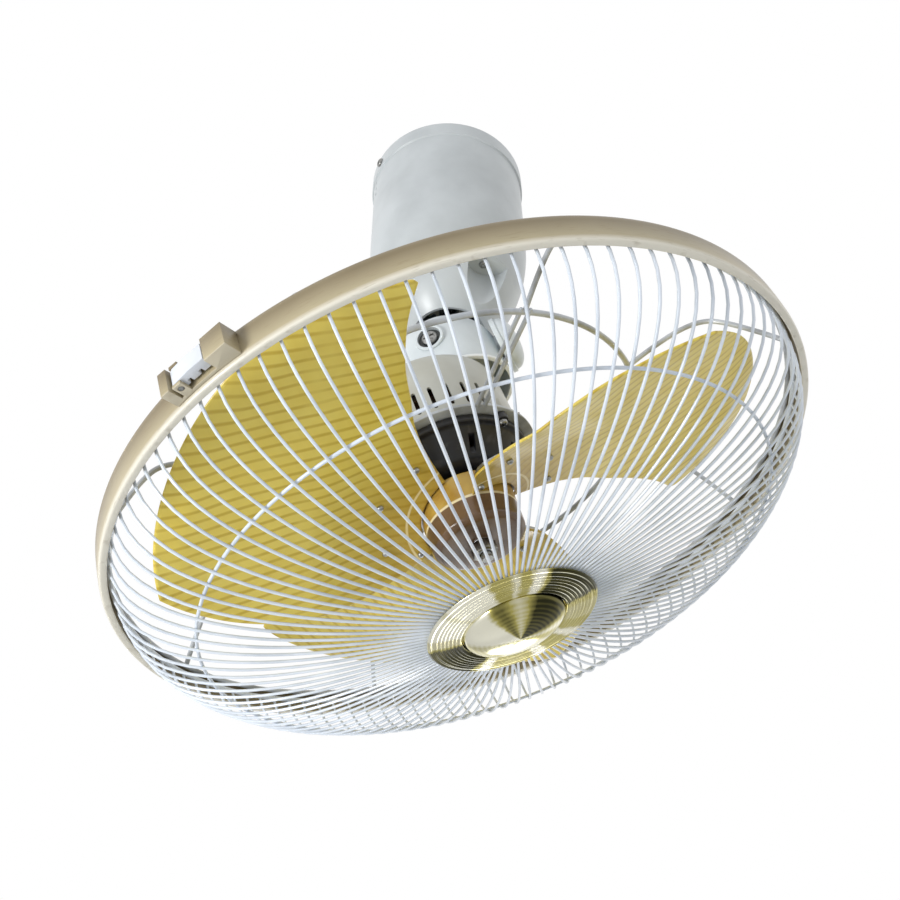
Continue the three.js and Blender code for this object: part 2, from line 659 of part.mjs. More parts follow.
// A hoop of square bar, its section turned by an angle about its own middle.
function squareHoop(r, z, width, slant, segments = FRONT_GUARD.wires / 2) {
  const half = width / Math.SQRT2;
  const section = around(4, (t) => {
    const a = t + Math.PI / 4 + slant;
    return [r + half * Math.cos(a), z + half * Math.sin(a)];
  });
  return revolve(section, segments);
}

const wireLoop = (r, z, radius, sides, segments) =>
  revolve(around(sides, (t) => [r + radius * Math.cos(t), z + radius * Math.sin(t)]), segments);

// The rear guard's spoke: out from the hoop, over a shoulder and down to the band.
const SPOKE = [[138, 38.7], [160, 42.5], [180, 43.8], [195, 40.3], [205.5, 31], [218, 14], [228.4, -2]];
function rearGuard() {
  const { spokes, firstSpoke, wireR, hoopR, hoopZ, rimR } = REAR_GUARD;
  const points = SPOKE.map(([r, z]) => [r, 0, z]);
  const seat = (FLANGE.front + FLANGE.rear) / 2;
  const strut = (side) => [
    [hoopR, side * 3.2, hoopZ],
    [FLANGE.r - 2, side * 2.6, seat],
  ];
  const pieces = around(spokes, (a, i) => {
    const angle = a + firstSpoke * DEG;
    const parts = [turnedAbout(wire(points, wireR, 4, 0.5), angle)];
    if (i % 2 === 0)
      for (const side of [1, -1]) parts.push(turnedAbout(bar(...strut(side), 1.6, 4), angle));
    return parts;
  }).flat();
  const hoop = wireLoop(hoopR, hoopZ, 2, 4, 40);
  const rim = wireLoop(rimR, -3.6, 1.7, 4, 48);
  const flange = cut(tube(50.5, FLANGE.r, FLANGE.front, FLANGE.rear, 24), boltHoles(30, 42));
  return wasm.Manifold.union([hoop, rim, flange, ...pieces]);
}

function centreCap() {
  const { r, z, domeR } = CAP;
  const ridges = Array.from({ length: 3 }, (_, i) => {
    const x = r - 5 - i * 5.5;
    return [[x, z - 3.4], [x - 3, z - 4.6]];
  }).flat();
  return revolve(
    [
      [domeR, z - 1.4],
      [r - 3, z - 1.4],
      [r - 0.8, z],
      [r, z - 1],
      [r - 0.6, z - 2.4],
      ...ridges,
      [domeR, z - 3.6],
    ].reverse(),
    32,
  );
}

function capDome() {
  const { z, domeR } = CAP;
  const edge = domeR - GAP;
  return revolve(
    [
      [0, z - 1.4],
      [edge, z - 1.4],
      [edge, z - 3.4],
      [edge - 2, z - 6],
      [edge - 7, z - 9],
      [edge - 14, z - 11.5],
      [edge - 22, z - 12.8],
      [0, z - 13.3],
    ].reverse(),
    28,
  );
}

// ---- guard latch ------------------------------------------------------------------------------------------
const latchFrame = turned(Z, LATCH.angle * DEG);
const inLatch = (x, y, z) => latchFrame.clone().multiply(at(x, y, z));
const LATCH_PIN = [BAND.r + 6.2, LATCH.pinY];
const pinHole = () => disc(1.5 + GAP, -BAND.height, 0, 12, inLatch(...LATCH_PIN, 0));

function latchBase() {
  const middle = -BAND.height / 2;
  const arc = tube(BAND.r + GAP, BAND.r + 2, middle - LATCH.height / 2, middle + LATCH.height / 2, 72);
  const keep = box(30, LATCH.length, 40, inLatch(BAND.r, 0, middle));
  const tabs = [[-1, 5.4], [1, 14]].map(([side, width]) =>
    box(9.5, width, LATCH.height, inLatch(BAND.r + 5.4, (side * (LATCH.length - width)) / 2, middle)),
  );
  const ears = [-1, 1].map((side) =>
    box(8, 5.4, 2, inLatch(LATCH_PIN[0] - 0.8, LATCH_PIN[1], middle + side * (LATCH.height / 2 - 1))),
  );
  const clearOfBand = disc(BAND.r + GAP, -60, 20, 72);
  return cut(joined([arc.intersect(keep), ...tabs, ...ears]), [pinHole(), clearOfBand]);
}

const latchPin = () =>
  disc(1.5, -BAND.height / 2 - 7.3, -BAND.height / 2 + 7.3, 12, inLatch(...LATCH_PIN, 0));

function latchLever() {
  const middle = -BAND.height / 2;
  const [pinX, pinY] = LATCH_PIN;
  const inner = BAND.r + 3.4 - pinX;
  const outer = LATCH.leverR - pinX;
  const end = LATCH.leverEnd - pinY;
  const outline = [[inner, -1.5], [-1.5, -3.3], [2, -3.3], [3.2, -1], [outer, 9], [outer, end], [inner, end]];
  const shape = new THREE.Shape(outline.map(([x, y]) => new THREE.Vector2(x, y)));
  const g = new THREE.ExtrudeGeometry(shape, { depth: 10.4, bevelEnabled: false, steps: 1 });
  const body = solid(g, inLatch(pinX, pinY, middle - 5.2));
  const grip = [-6.5, 1].map((y) => box(3, 2.2, 6, inLatch(BAND.r + 4.4, y, middle - 5.2)));
  return cut(body, [...grip, pinHole()]);
}

// ---- the assembly -----------------------------------------------------------------------------------------
add(group, "ceiling_plate", ceilingPlate(), STEEL);
add(group, "cable_grommet", cableGrommet(), RUBBER);
add(group, "canopy_shell", canopyShell(), GREY_PLASTIC);
add(group, "pocket_screw", pocketScrew(), STEEL);
CANOPY_SCREWS.forEach((a, i) => {
  const place = turned(Z, a).multiply(at(CANOPY.collarR + 2.3, 0, -8));
  add(group, `canopy_screw_${i + 1}`, panScrew(4, 2, 2, 7, place), STEEL);
});
add(group, "hanger_bracket", hangerBracket(), STEEL);
add(group, "terminal_block", terminalBlock(), NYLON);
add(group, "run_capacitor", capacitor(), BLACK_PAINT);
add(group, "orbit_frame", orbitFrame(), STEEL);
add(group, "orbit_bearing_upper", bearing(SHAFT_R, 14, FRAME.z + 1, 8), STEEL);
add(group, "orbit_bearing_lower", bearing(SHAFT_R, 14, FRAME.z - 18, 8), STEEL);
add(group, "orbit_motor", orbitMotor(), STEEL);
add(group, "drive_pinion", drivePinion(), NYLON);
add(group, "orbit_gear", orbitGear(), NYLON);
add(group, "orbit_crank", orbitCrank(), STEEL);
add(head, "journal_nut", journalNut(), STEEL);
add(head, "swivel_housing", swivelHousing(), GREY_PLASTIC);
add(head, "swivel_bearing_upper", bearing(SHAFT_R, 16, -11.5, 6, atSwivel), STEEL);
add(head, "swivel_bearing_lower", bearing(SHAFT_R, 16, -19.5, 6, atSwivel), STEEL);
add(head, "pivot_screw", pivotScrew(), STEEL);
add(head, "pivot_cap", pivotCap(), GREY_PLASTIC);
add(head, "motor_rear_cover", motorRearCover(), WARM_PLASTIC);
add(head, "stator_core", statorCore(), LAMINATION);
add(head, "stator_winding_rear", endWinding(64.4, 78), COPPER);
add(head, "stator_winding_front", endWinding(28, 41.6), COPPER);
add(head, "motor_front_bell", motorFrontBell(), BLACK_PAINT);
boltPlaces().forEach((place, i) => add(head, `motor_bolt_${i + 1}`, motorBolt(place), STEEL));
add(head, "shaft_bearing_rear", bearing(ROTOR_SHAFT_R, 13, MOTOR.rear - 17, 8), STEEL);
add(head, "shaft_bearing_front", bearing(ROTOR_SHAFT_R, 13, BELL.front + 1, 7), STEEL);
add(head, "rear_guard", rearGuard(), WIRE_COAT);
add(head, "guard_band", guardBand(), BEIGE_PLASTIC);
add(head, "front_guard", frontGuard(), WIRE_COAT);
add(head, "centre_cap", centreCap(), GOLD_PLATE);
add(head, "cap_dome", capDome(), GOLD_PLATE);
add(head, "latch_base", latchBase(), BEIGE_PLASTIC);
add(head, "latch_pin", latchPin(), STEEL);
add(head, "latch_lever", latchLever(), WHITE_PLASTIC);
add(head, "rotor_shaft", rotorShaft(), STEEL);
add(head, "rotor_core", rotorCore(), LAMINATION);
add(head, "blade_hub", bladeHub(), AMBER_PLASTIC);
add(head, "hub_nut", hubNut(), STEEL);
for (let i = 0; i < BLADE.count; i++) {
  add(head, `blade_${i + 1}`, blade(i), AMBER_PLASTIC);
  add(head, `blade_arm_${i + 1}`, bladeArm(i), STEEL);
}

export default group;
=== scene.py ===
"""Looks of an orbital ceiling fan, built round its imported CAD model. Pieces are worked out in millimetres and
placed in metres, +Z up, with the ceiling at z = 0. The head's own frame has its Z up the blade axis and its
origin where that axis meets the plane of the guard band's rear edge."""

import math

import bmesh
import bpy
import numpy as np
from mathutils import Matrix, Vector


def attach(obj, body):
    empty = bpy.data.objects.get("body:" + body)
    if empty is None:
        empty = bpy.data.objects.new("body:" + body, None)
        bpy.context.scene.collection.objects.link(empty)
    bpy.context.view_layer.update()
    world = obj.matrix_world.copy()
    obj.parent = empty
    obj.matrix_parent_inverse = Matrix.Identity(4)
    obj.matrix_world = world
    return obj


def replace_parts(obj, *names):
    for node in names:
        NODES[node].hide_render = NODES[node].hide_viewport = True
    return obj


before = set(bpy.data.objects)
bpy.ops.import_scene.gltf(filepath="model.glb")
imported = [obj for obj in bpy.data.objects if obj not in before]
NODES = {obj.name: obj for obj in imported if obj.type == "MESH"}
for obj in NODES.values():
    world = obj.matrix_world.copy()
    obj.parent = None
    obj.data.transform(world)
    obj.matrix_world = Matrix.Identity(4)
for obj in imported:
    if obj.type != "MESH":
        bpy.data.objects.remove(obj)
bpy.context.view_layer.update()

SCENE = bpy.context.scene

# ---- sizes, in millimetres and radians, as in the CAD source; _R is a radius ----------------------------
MM = 0.001
FULL_TURN = 2 * math.pi
LEAN = math.radians(17.16)
SWIVEL_Z = -230
BAND_CENTRE = (10.3, 0, -359.4)
MILLIMETRES = Matrix.Scale(MM, 4)
ROOM = Matrix.Identity(4)
HEAD = Matrix.Translation(BAND_CENTRE) @ Matrix.Rotation(-LEAN, 4, "Y")
AT_SWIVEL = Matrix.Translation(HEAD.inverted() @ Vector((0, 0, SWIVEL_Z)))

CANOPY_R, COLLAR_R, COLLAR_LOW, SHOULDER_Z, BOWL_DEPTH, BOWL_BULGE = 65, 66.5, -16, -96, 108, 1.85
MOUTH_R, CANOPY_WALL = 28, 2.5
CANOPY_SCREW_Z, CANOPY_SCREW_ANGLES = -8, [math.radians(a) for a in (25, 205)]
VENT_ANGLE, VENT_HEIGHTS = math.radians(-166), (-21, -29, -37)
POCKET_ANGLE, POCKET_R, POCKET_TOOL_R, POCKET_TOP, POCKET_SCREW_R = math.radians(-57), 52, 18, -149, 44
HOUSING_R, HOUSING_MOUTH_R, HOUSING_LOW, HOUSING_WALL = 41, 27, -28.3, 3
BEARING_TUBE_IN, BEARING_TUBE_OUT, BEARING_TUBE_LOW = 16.3, 19.3, -20
BOSS_R, BOSS_RECESS_R, BOSS_FACE, COVER_DROP = 11, 8.8, 42.5, -3
BOSS_ANGLE, CAP_ANGLE, WINDOW_ANGLE = (math.radians(a) for a in (-117, -27, -12))
MOTOR_R, MOTOR_LOW, MOTOR_TOP, MOTOR_WALL, SLOTS = 55.7, 38, 98, 2, 30
BELL_LOW, BELL_TOP, BELL_WALL = 10, 35.2, 3
BOLT_R, BOLT_ANGLES, EAR_R = 55.5, [math.radians(a) for a in (-58, 62, 182)], 4.6
SHAFT_HOLE_R, HUB_R, HUB_TOP, HUB_LOW = 6.3, 33, 6, -30
BLADE_TURNS = [math.radians(-142 + 120 * i) for i in range(3)]
TIP_R, ROOT_R, BLADE_THICK, HOLLOW, TRAILING_DROP, LEADING_DROP = 207, 34, 2.4, 0.035, 4.2, 17.4
# A blade's two edges: radius, degrees from the blade's own line, height.
LEADING = np.array([
    (30, 22, 3), (55, 23.2, 7.6), (70, 24.5, 10), (90, 27, 12.2), (110, 30.3, 13.1), (135, 32.5, 14.5),
    (165, 36.4, 18.4), (190, 40.6, 22.6), (208, 22, 18),
])
TRAILING = np.array([
    (30, -76, -13.5), (55, -75, -15.9), (70, -70.1, -20.9), (90, -64.3, -27.2), (110, -57.7, -33.5),
    (135, -51.9, -36.1), (165, -43.6, -35.6), (190, -36.5, -34), (208, -31, -31.9),
])
RIVETS = [(41, -68), (61, -51), (66, -17), (59, 13)]
BAND_R, BAND_HEIGHT, BAND_WALL, BAND_LIP = 235, 20, 2, 5
WIRES, WIRE_R, WIRE_RIM_R, CAGE_START, CAGE_DEPTH, CAGE_BULGE = 108, 0.95, 228.4, 6.6, 81.7, 2.45
RIM_ROD_R, MIDDLE_HOOP_R, MIDDLE_ROD_R, INNER_HOOP_R, INNER_ROD_R = 1.7, 186.6, 1.05, 43, 1.3
SPOKE_ROD_R, STRUT_ROD_R, HOOP_ROD_R = 1.7, 1.6, 2.0
SPOKE = [(138, 38.7), (160, 42.5), (180, 43.8), (195, 40.3), (205.5, 31), (218, 14), (228.4, -2)]
SPOKE_TURNS = [math.radians(-75 + 45 * i) for i in range(8)]
FLANGE_IN, FLANGE_R, FLANGE_LOW, FLANGE_TOP, HOOP_R, HOOP_Z = 50.5, 62, 35.5, 37.7, 138, 38.7
CAP_R, CAP_Z, DOME_R, DOME_HEIGHT, CAP_RIDGES = 55.6, -88.8, 33.5, 9.9, 7


# ---- surfaces -------------------------------------------------------------------------------------------
def unit(vectors):
    return vectors / np.linalg.norm(vectors, axis=-1, keepdims=True)


def turns(count):
    return np.arange(count) * FULL_TURN / count


def sheet(points, wrap_rows=False, wrap_columns=False):
    """A grid of points, (rows, columns, 3), with each four neighbours joined by a face."""
    rows, columns = points.shape[:2]
    number = np.arange(rows * columns).reshape(rows, columns)
    if wrap_rows:
        number = np.concatenate([number, number[:1]])
    if wrap_columns:
        number = np.concatenate([number, number[:, :1]], axis=1)
    corners = [number[:-1, :-1], number[1:, :-1], number[1:, 1:], number[:-1, 1:]]
    return points.reshape(-1, 3), np.stack(corners, axis=-1).reshape(-1, 4)


def together(*patches):
    """Several patches as one, their faces numbered on."""
    starts = np.cumsum([0] + [len(points) for points, _ in patches[:-1]])
    return (
        np.concatenate([points for points, _ in patches]),
        np.concatenate([faces + start for start, (_, faces) in zip(starts, patches)]),
    )


def placed(patch, matrix):
    """The patch with each point p at matrix times p."""
    m = np.array(matrix)
    return patch[0] @ m[:3, :3].T + m[:3, 3], patch[1]


def around(angle, x=0.0, y=0.0, z=0.0):
    """A place at (x, y, z) of a frame turned by the angle about Z."""
    return Matrix.Rotation(angle, 4, "Z") @ Matrix.Translation((x, y, z))


OUTWARD = Matrix.Rotation(math.pi / 2, 4, "Y")  # lays a piece's Z along X
UPSIDE_DOWN = Matrix.Rotation(math.pi, 4, "X")


def turned(profile, segments=128, closed=True):
    """A surface of revolution: the profile's point (r, z) at angle a is (r cos a, r sin a, z)."""
    r, z = np.asarray(profile, float).T
    a = turns(segments)[:, None]
    points = np.stack([r * np.cos(a), r * np.sin(a), z + 0 * a], axis=-1)
    return sheet(points, wrap_rows=True, wrap_columns=closed)


def softened(corners, radius, closed=True, steps=4):
    """A section with its corners rounded: each is the curve (1-t)^2 a + 2t(1-t) corner + t^2 b, where a and b
    lie on the two edges, a radius away from the corner or at 0.45 of a shorter edge."""
    p = np.asarray(corners, float)
    to_before, to_after = np.roll(p, 1, 0) - p, np.roll(p, -1, 0) - p
    reach = np.minimum.reduce(
        [np.full(len(p), float(radius)), *(0.45 * np.linalg.norm(d, axis=1) for d in (to_before, to_after))]
    )[:, None]
    a, b = p + unit(to_before) * reach, p + unit(to_after) * reach
    t = np.linspace(0, 1, steps + 1)[:, None, None]
    curves = ((1 - t) ** 2 * a + 2 * t * (1 - t) * p + t**2 * b).transpose(1, 0, 2)
    if closed:
        return curves.reshape(-1, 2)
    return np.concatenate([p[:1], curves[1:-1].reshape(-1, 2), p[-1:]])


def eased(points, steps=8):
    """A smooth line through the points: each span is the cubic whose end slopes are half the chord between
    the neighbours."""
    p = np.asarray(points, float)
    q = np.concatenate([[2 * p[0] - p[1]], p, [2 * p[-1] - p[-2]]])
    a, b, c, d = q[:-3], q[1:-2], q[2:-1], q[3:]
    t = np.linspace(0, 1, steps, endpoint=False)[:, None, None]
    curve = b + ((c - a) * t + (2 * a - 5 * b + 4 * c - d) * t**2 + (3 * b - 3 * c + d - a) * t**3) / 2
    return np.concatenate([curve.transpose(1, 0, 2).reshape(-1, p.shape[1]), p[-1:]])


def rods(lines, sideways, radius, sides=8, closed=False):
    """Round rods along lines, (rods, stations, 3): the surface at angle t is the line's point plus radius times
    (cos t n + sin t s), with s the rod's fixed sideways direction and n square to it and to the run. Open ends
    are closed by a dome."""
    lines, sideways = np.asarray(lines, float), np.asarray(sideways, float)
    swell = np.ones(lines.shape[1])
    if not closed:
        out = radius * np.array([1, 0.75])[:, None]
        first, last = unit(lines[:, 1] - lines[:, 0])[:, None], unit(lines[:, -1] - lines[:, -2])[:, None]
        lines = np.concatenate([lines[:, :1] - out * first, lines, lines[:, -1:] + out[::-1] * last], axis=1)
        swell = np.concatenate([[0, 0.66], swell, [0.66, 0]])
    runs = np.roll(lines, -1, 1) - np.roll(lines, 1, 1) if closed else np.gradient(lines, axis=1)
    across = unit(np.cross(unit(runs), sideways[:, None]))
    t = turns(sides)[:, None]
    ring = across[:, :, None] * np.cos(t) + sideways[:, None, None] * np.sin(t)
    points = lines[:, :, None] + radius * swell[:, None, None] * ring
    return together(*(sheet(p, wrap_rows=closed, wrap_columns=True) for p in points))


def hoop(radius, z, rod_radius, segments=240, sides=12):
    """A closed round rod bent to a circle."""
    a = turns(segments)
    line = np.stack([radius * np.cos(a), radius * np.sin(a), z + 0 * a], axis=-1)
    return rods([line], [(0, 0, 1)], rod_radius, sides, closed=True)


def prism(outline, low, high):
    """A straight-sided solid: the outline at two heights, each end closed at the outline's middle."""
    p = np.asarray(outline, float)
    middle = np.broadcast_to(p.mean(axis=0), p.shape)
    rows = [(middle, low), (p, low), (p, high), (middle, high)]
    points = [np.column_stack([xy, np.full(len(p), float(z))]) for xy, z in rows]
    return sheet(np.stack(points), wrap_columns=True)


def circle(radius, sides=32):
    a = turns(sides)
    return np.column_stack([radius * np.cos(a), radius * np.sin(a)])


def stadium(width, length, sides=8):
    """A slot's outline: two half circles, their middles apart by the length less the width."""
    a = np.linspace(0, np.pi, sides)
    half = np.column_stack([np.cos(a), np.sin(a)]) * width / 2 + (0, (length - width) / 2)
    return np.concatenate([half, -half])


def rectangle(x, y):
    return np.array([(-x, -y), (x, -y), (x, y), (-x, y)]) / 2


# ---- meshes and pieces ----------------------------------------------------------------------------------
def tidied(mesh, merge=1e-4):
    """Joins points that lie together and turns the faces outwards."""
    bm = bmesh.new()
    bm.from_mesh(mesh)
    bmesh.ops.remove_doubles(bm, verts=bm.verts, dist=merge)
    bmesh.ops.dissolve_degenerate(bm, dist=merge / 10, edges=bm.edges)
    bmesh.ops.recalc_face_normals(bm, faces=bm.faces)
    bm.to_mesh(mesh)
    bm.free()
    return mesh


def mesh_of(patch):
    mesh = bpy.data.meshes.new("shape")
    mesh.from_pydata(patch[0].tolist(), [], patch[1].tolist())
    return tidied(mesh)


def with_modifier(mesh, kind, **settings):
    """The mesh after one modifier, which doesn't stay live."""
    carrier = bpy.data.objects.new("carrier", mesh)
    SCENE.collection.objects.link(carrier)
    modifier = carrier.modifiers.new(kind, kind)
    for key, value in settings.items():
        setattr(modifier, key, value)
    result = bpy.data.meshes.new_from_object(carrier.evaluated_get(bpy.context.evaluated_depsgraph_get()))
    bpy.data.objects.remove(carrier)
    return result


def shaped(mesh, operation, *tools):
    """The mesh after UNION, DIFFERENCE or INTERSECT with each tool in turn, a patch or a mesh."""
    for tool in tools:
        tool_mesh = mesh_of(tool) if isinstance(tool, tuple) else tool
        holder = bpy.data.objects.new("tool", tool_mesh)
        SCENE.collection.objects.link(holder)
        mesh = with_modifier(mesh, "BOOLEAN", operation=operation, solver="EXACT", object=holder)
        bpy.data.objects.remove(holder)
    return mesh


def piece(name, mesh, place, body, slot, finish, *nodes, crease=32):
    """Puts a mesh made in millimetres at its place, with its finish, its body and the CAD nodes it stands for."""
    mesh = mesh_of(mesh) if isinstance(mesh, tuple) else mesh
    mesh.name = name
    mesh.transform(MILLIMETRES @ place)
    mesh.materials.clear()
    mesh.materials.append(finish)
    mesh.shade_smooth()
    mesh.set_sharp_from_angle(angle=math.radians(crease))
    made = bpy.data.objects.new(name, mesh)
    SCENE.collection.objects.link(made)
    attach(made, body)
    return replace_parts(made, *nodes) if nodes else made


def rounded_copy(node, width):
    """A CAD node's solid with its flat faces joined and its edges rounded, in millimetres."""
    mesh = NODES[node].data.copy()
    mesh.transform(MILLIMETRES.inverted())
    bm = bmesh.new()
    bm.from_mesh(tidied(mesh, merge=2e-3))
    bmesh.ops.dissolve_limit(bm, angle_limit=math.radians(1.5), verts=bm.verts, edges=bm.edges)
    bm.to_mesh(mesh)
    bm.free()
    return with_modifier(mesh, "BEVEL", width=width, segments=2, limit_method="ANGLE", angle_limit=math.radians(35))


# ---- finishes -------------------------------------------------------------------------------------------
class Value:
    """A shader socket that can be used in an expression: each operation adds its Math node."""

    def __init__(self, finish, socket):
        self.finish, self.socket = finish, socket

    def calculate(self, operation, *values, **settings):
        return self.finish.node("Math", dict(operation=operation, **settings), values)

    def __add__(self, other):
        return self.calculate("ADD", self, other)

    def __sub__(self, other):
        return self.calculate("SUBTRACT", self, other)

    def __rsub__(self, other):
        return self.calculate("SUBTRACT", other, self)

    def __mul__(self, other):
        return self.calculate("MULTIPLY", self, other)

    def __pow__(self, other):
        return self.calculate("POWER", self, other)

    __radd__, __rmul__ = __add__, __mul__

    def sine(self):
        return self.calculate("SINE", self)

    def limited(self):
        return self.calculate("ADD", self, 0, use_clamp=True)

    def between(self, low, high):
        """0 below low, 1 above high and even between."""
        return ((self - low) * (1 / (high - low))).limited()


class Finish:
    """A material being made. Settings that are the same all over go on the shader's own sockets."""

    def __init__(self, name, **sockets):
        self.material = bpy.data.materials.new(name)
        self.material.use_nodes = True
        self.tree = self.material.node_tree
        self.shader = self.tree.nodes["Principled BSDF"]
        for key, value in sockets.items():
            self.shader.inputs[key.replace("_", " ")].default_value = value

    def node(self, kind, settings=(), inputs=(), output=0):
        """Adds a node, gives it its settings and then the values or links of its sockets."""
        made = self.tree.nodes.new("ShaderNode" + kind)
        for key, value in dict(settings).items():
            setattr(made, key, value)
        for key, value in inputs.items() if isinstance(inputs, dict) else enumerate(inputs):
            self.feed(made.inputs[key], value)
        return Value(self, made.outputs[output])

    def feed(self, socket, value):
        if isinstance(value, Value):
            self.tree.links.new(value.socket, socket)
        else:
            socket.default_value = value

    def shade(self, **sockets):
        for key, value in sockets.items():
            self.feed(self.shader.inputs[key.replace("_", " ")], value)
        return self.material

    def place(self, matrix=ROOM):
        """Coordinates in millimetres in the frame that the matrix places in the room."""
        mapping = {
            "Vector": self.node("TexCoord", output="Object"),
            "Location": matrix.to_translation() * MM,
            "Rotation": matrix.to_euler(),
            "Scale": (MM, MM, MM),
        }
        return self.node("Mapping", {"vector_type": "TEXTURE"}, mapping)

    def parts(self, vector):
        split = self.node("SeparateXYZ", (), [vector])
        return [Value(self, output) for output in split.socket.node.outputs]

    def noise(self, vector, per_mm, detail=3.0, stretch=(1, 1, 1)):
        """Smooth noise about 0.5, with that many waves to the millimetre."""
        if stretch != (1, 1, 1):
            vector = self.node("VectorMath", {"operation": "MULTIPLY"}, [vector, stretch])
        return self.node("TexNoise", (), {"Vector": vector, "Scale": per_mm, "Detail": detail})

    def mix(self, a, b, factor):
        """The colour a where the factor is 0 and b where it is 1."""
        return self.node("Mix", {"data_type": "RGBA"}, {0: factor, 6: a, 7: b}, output=2)

    def bump(self, height, depth_mm):
        return self.node("Bump", (), {"Strength": 1.0, "Distance": depth_mm * MM, "Height": height})


def paint(red, green, blue):
    """The linear colour of an 8-bit one: ((c/255 + 0.055) / 1.055) ** 2.4."""
    return (*(((c / 255 + 0.055) / 1.055) ** 2.4 for c in (red, green, blue)), 1.0)


def satin_plastic(name, roughness, place, colouring):
    """Satin plastic: mould grain in the bump, a roughness that wanders and the colour that colouring(f, at)
    works out at a place."""
    f = Finish(name, Coat_Weight=0.12, Coat_Roughness=0.25)
    at = f.place(place)
    return f.shade(
        Base_Color=colouring(f, at),
        Roughness=roughness + (f.noise(at, 0.06) - 0.5) * 0.16,
        Normal=f.bump(f.noise(at, 1.3, 2.0), 0.02),
    )


def moulded_plastic(name, fresh, aged, roughness, place=ROOM):
    """Satin plastic that drifts slowly between two tones."""
    return satin_plastic(name, roughness, place, lambda f, at: drifting(f, at, fresh, aged))


def drifting(f, at, fresh, aged):
    return f.mix(fresh, aged, f.noise(at, 0.02, 4.0).between(0.38, 0.68))


def neck_plastic():
    """Pale blue-grey plastic, with a painted highlight as a pale band along the neck's lower edge and painted shade
    as a dark ring in the recess round the pivot screw.
    """

    def colouring(f, at):
        # painted highlight: a pale band along the neck's lower edge
        painted_edge_highlight = 1 - f.parts(at)[2].between(HOUSING_LOW + 1.6, HOUSING_LOW + 2.6)
        body = f.mix(drifting(f, at, paint(212, 220, 224), paint(198, 206, 210)), paint(246, 250, 252), painted_edge_highlight)
        x, y, depth = f.parts(f.place(HEAD @ AT_SWIVEL @ around(BOSS_ANGLE) @ OUTWARD))
        from_screw = (x * x + y * y) ** 0.5
        # painted shade: a dark ring in the recess round the pivot screw
        painted_recess_shade = (1 - from_screw.between(BOSS_RECESS_R - 0.5, BOSS_RECESS_R + 0.2)) * depth.between(36, 38)
        return f.mix(body, paint(48, 50, 50), painted_recess_shade)

    return satin_plastic("neck_plastic", 0.36, HEAD @ AT_SWIVEL, colouring)


def band_plastic():
    """Beige satin plastic, pale at the lower lip and browner towards the rear edge as painted shade, with fine
    scuffs round the band.
    """
    f = Finish("band_plastic", Coat_Weight=0.25, Coat_Roughness=0.2)
    at = f.place(HEAD)
    z = f.parts(at)[2]
    drift = f.noise(at, 0.015, 3.0).between(0.35, 0.7)
    # painted shade: the side browns from the pale lower lip towards the rear edge, with a little random drift mixed
    # in
    side = f.mix(paint(182, 170, 138), paint(120, 106, 76), (z.between(-17, -5) * 0.8 + drift * 0.2).limited())
    body = f.mix(paint(224, 220, 206), side, z.between(-19.2, -16.5))
    scuff = f.noise(at, 0.5, 2.0, (0.25, 0.25, 3)).between(0.58, 0.75)
    return f.shade(
        Base_Color=f.mix(body, paint(136, 120, 88), scuff * 0.35),
        Roughness=0.38 + scuff * 0.15,
        Normal=f.bump(f.noise(at, 1.1, 2.0), 0.015),
    )


def wire_coat(name, fresh, dusty_and_shaded):
    """Powder-coated wire: blue-grey with a slight orange peel, duller in patches where a dusting has settled; where
    the duller tone is dark, as on the rear guard, it is painted shade.
    """
    f = Finish(name, Coat_Weight=0.35, Coat_Roughness=0.15)
    at = f.place(HEAD)
    dust_and_shade = f.noise(at, 0.035, 4.0).between(0.42, 0.7)
    return f.shade(
        Base_Color=f.mix(fresh, dusty_and_shaded, dust_and_shade),
        Roughness=0.28 + dust_and_shade * 0.2,
        Normal=f.bump(f.noise(at, 0.9, 2.0), 0.03),
    )


def gold_plate(name, lines_per_mm, depth, painted_reflections, soft):
    """Pale gold plate over spun metal: fine rings about the blade axis, and bright and dark wedges about the axis
    that are painted reflections, the palest near white as painted highlights. Each painted reflection is (middle,
    width, change of tone), in degrees about the axis and with tone 1 the palest; its edges are soft over twice that
    many degrees."""
    f = Finish(name, Metallic=1.0)
    at = f.place(HEAD)
    x, y, _ = f.parts(at)
    radius = (x * x + y * y) ** 0.5
    rings = (radius * (FULL_TURN * lines_per_mm)).sine()
    drift = f.noise(at, 0.03, 3.0).between(0.35, 0.68)
    angle = y.calculate("ARCTAN2", y, x) * (180 / math.pi) + (f.noise(at, 0.2, 3.0) - 0.5) * 9
    tone = 0.46 + drift * 0.12 + rings * 0.05
    # each painted reflection lifts or lowers the tone over its wedge about the axis
    for middle, width, change in painted_reflections:
        away = (angle - middle).calculate("WRAP", angle - middle, 180, -180)
        away = away.calculate("ABSOLUTE", away)
        tone = tone + (1 - away.between(width / 2 - soft, width / 2 + soft)) * change
    tone = tone.limited()
    dark = f.mix(paint(52, 52, 32), paint(190, 180, 104), tone.between(0, 0.5))
    return f.shade(
        Base_Color=f.mix(dark, paint(255, 252, 232), tone.between(0.5, 1)),
        Roughness=0.1 + f.noise(at, 0.4, 3.0) * 0.1,
        Normal=f.bump(rings, depth),
    )


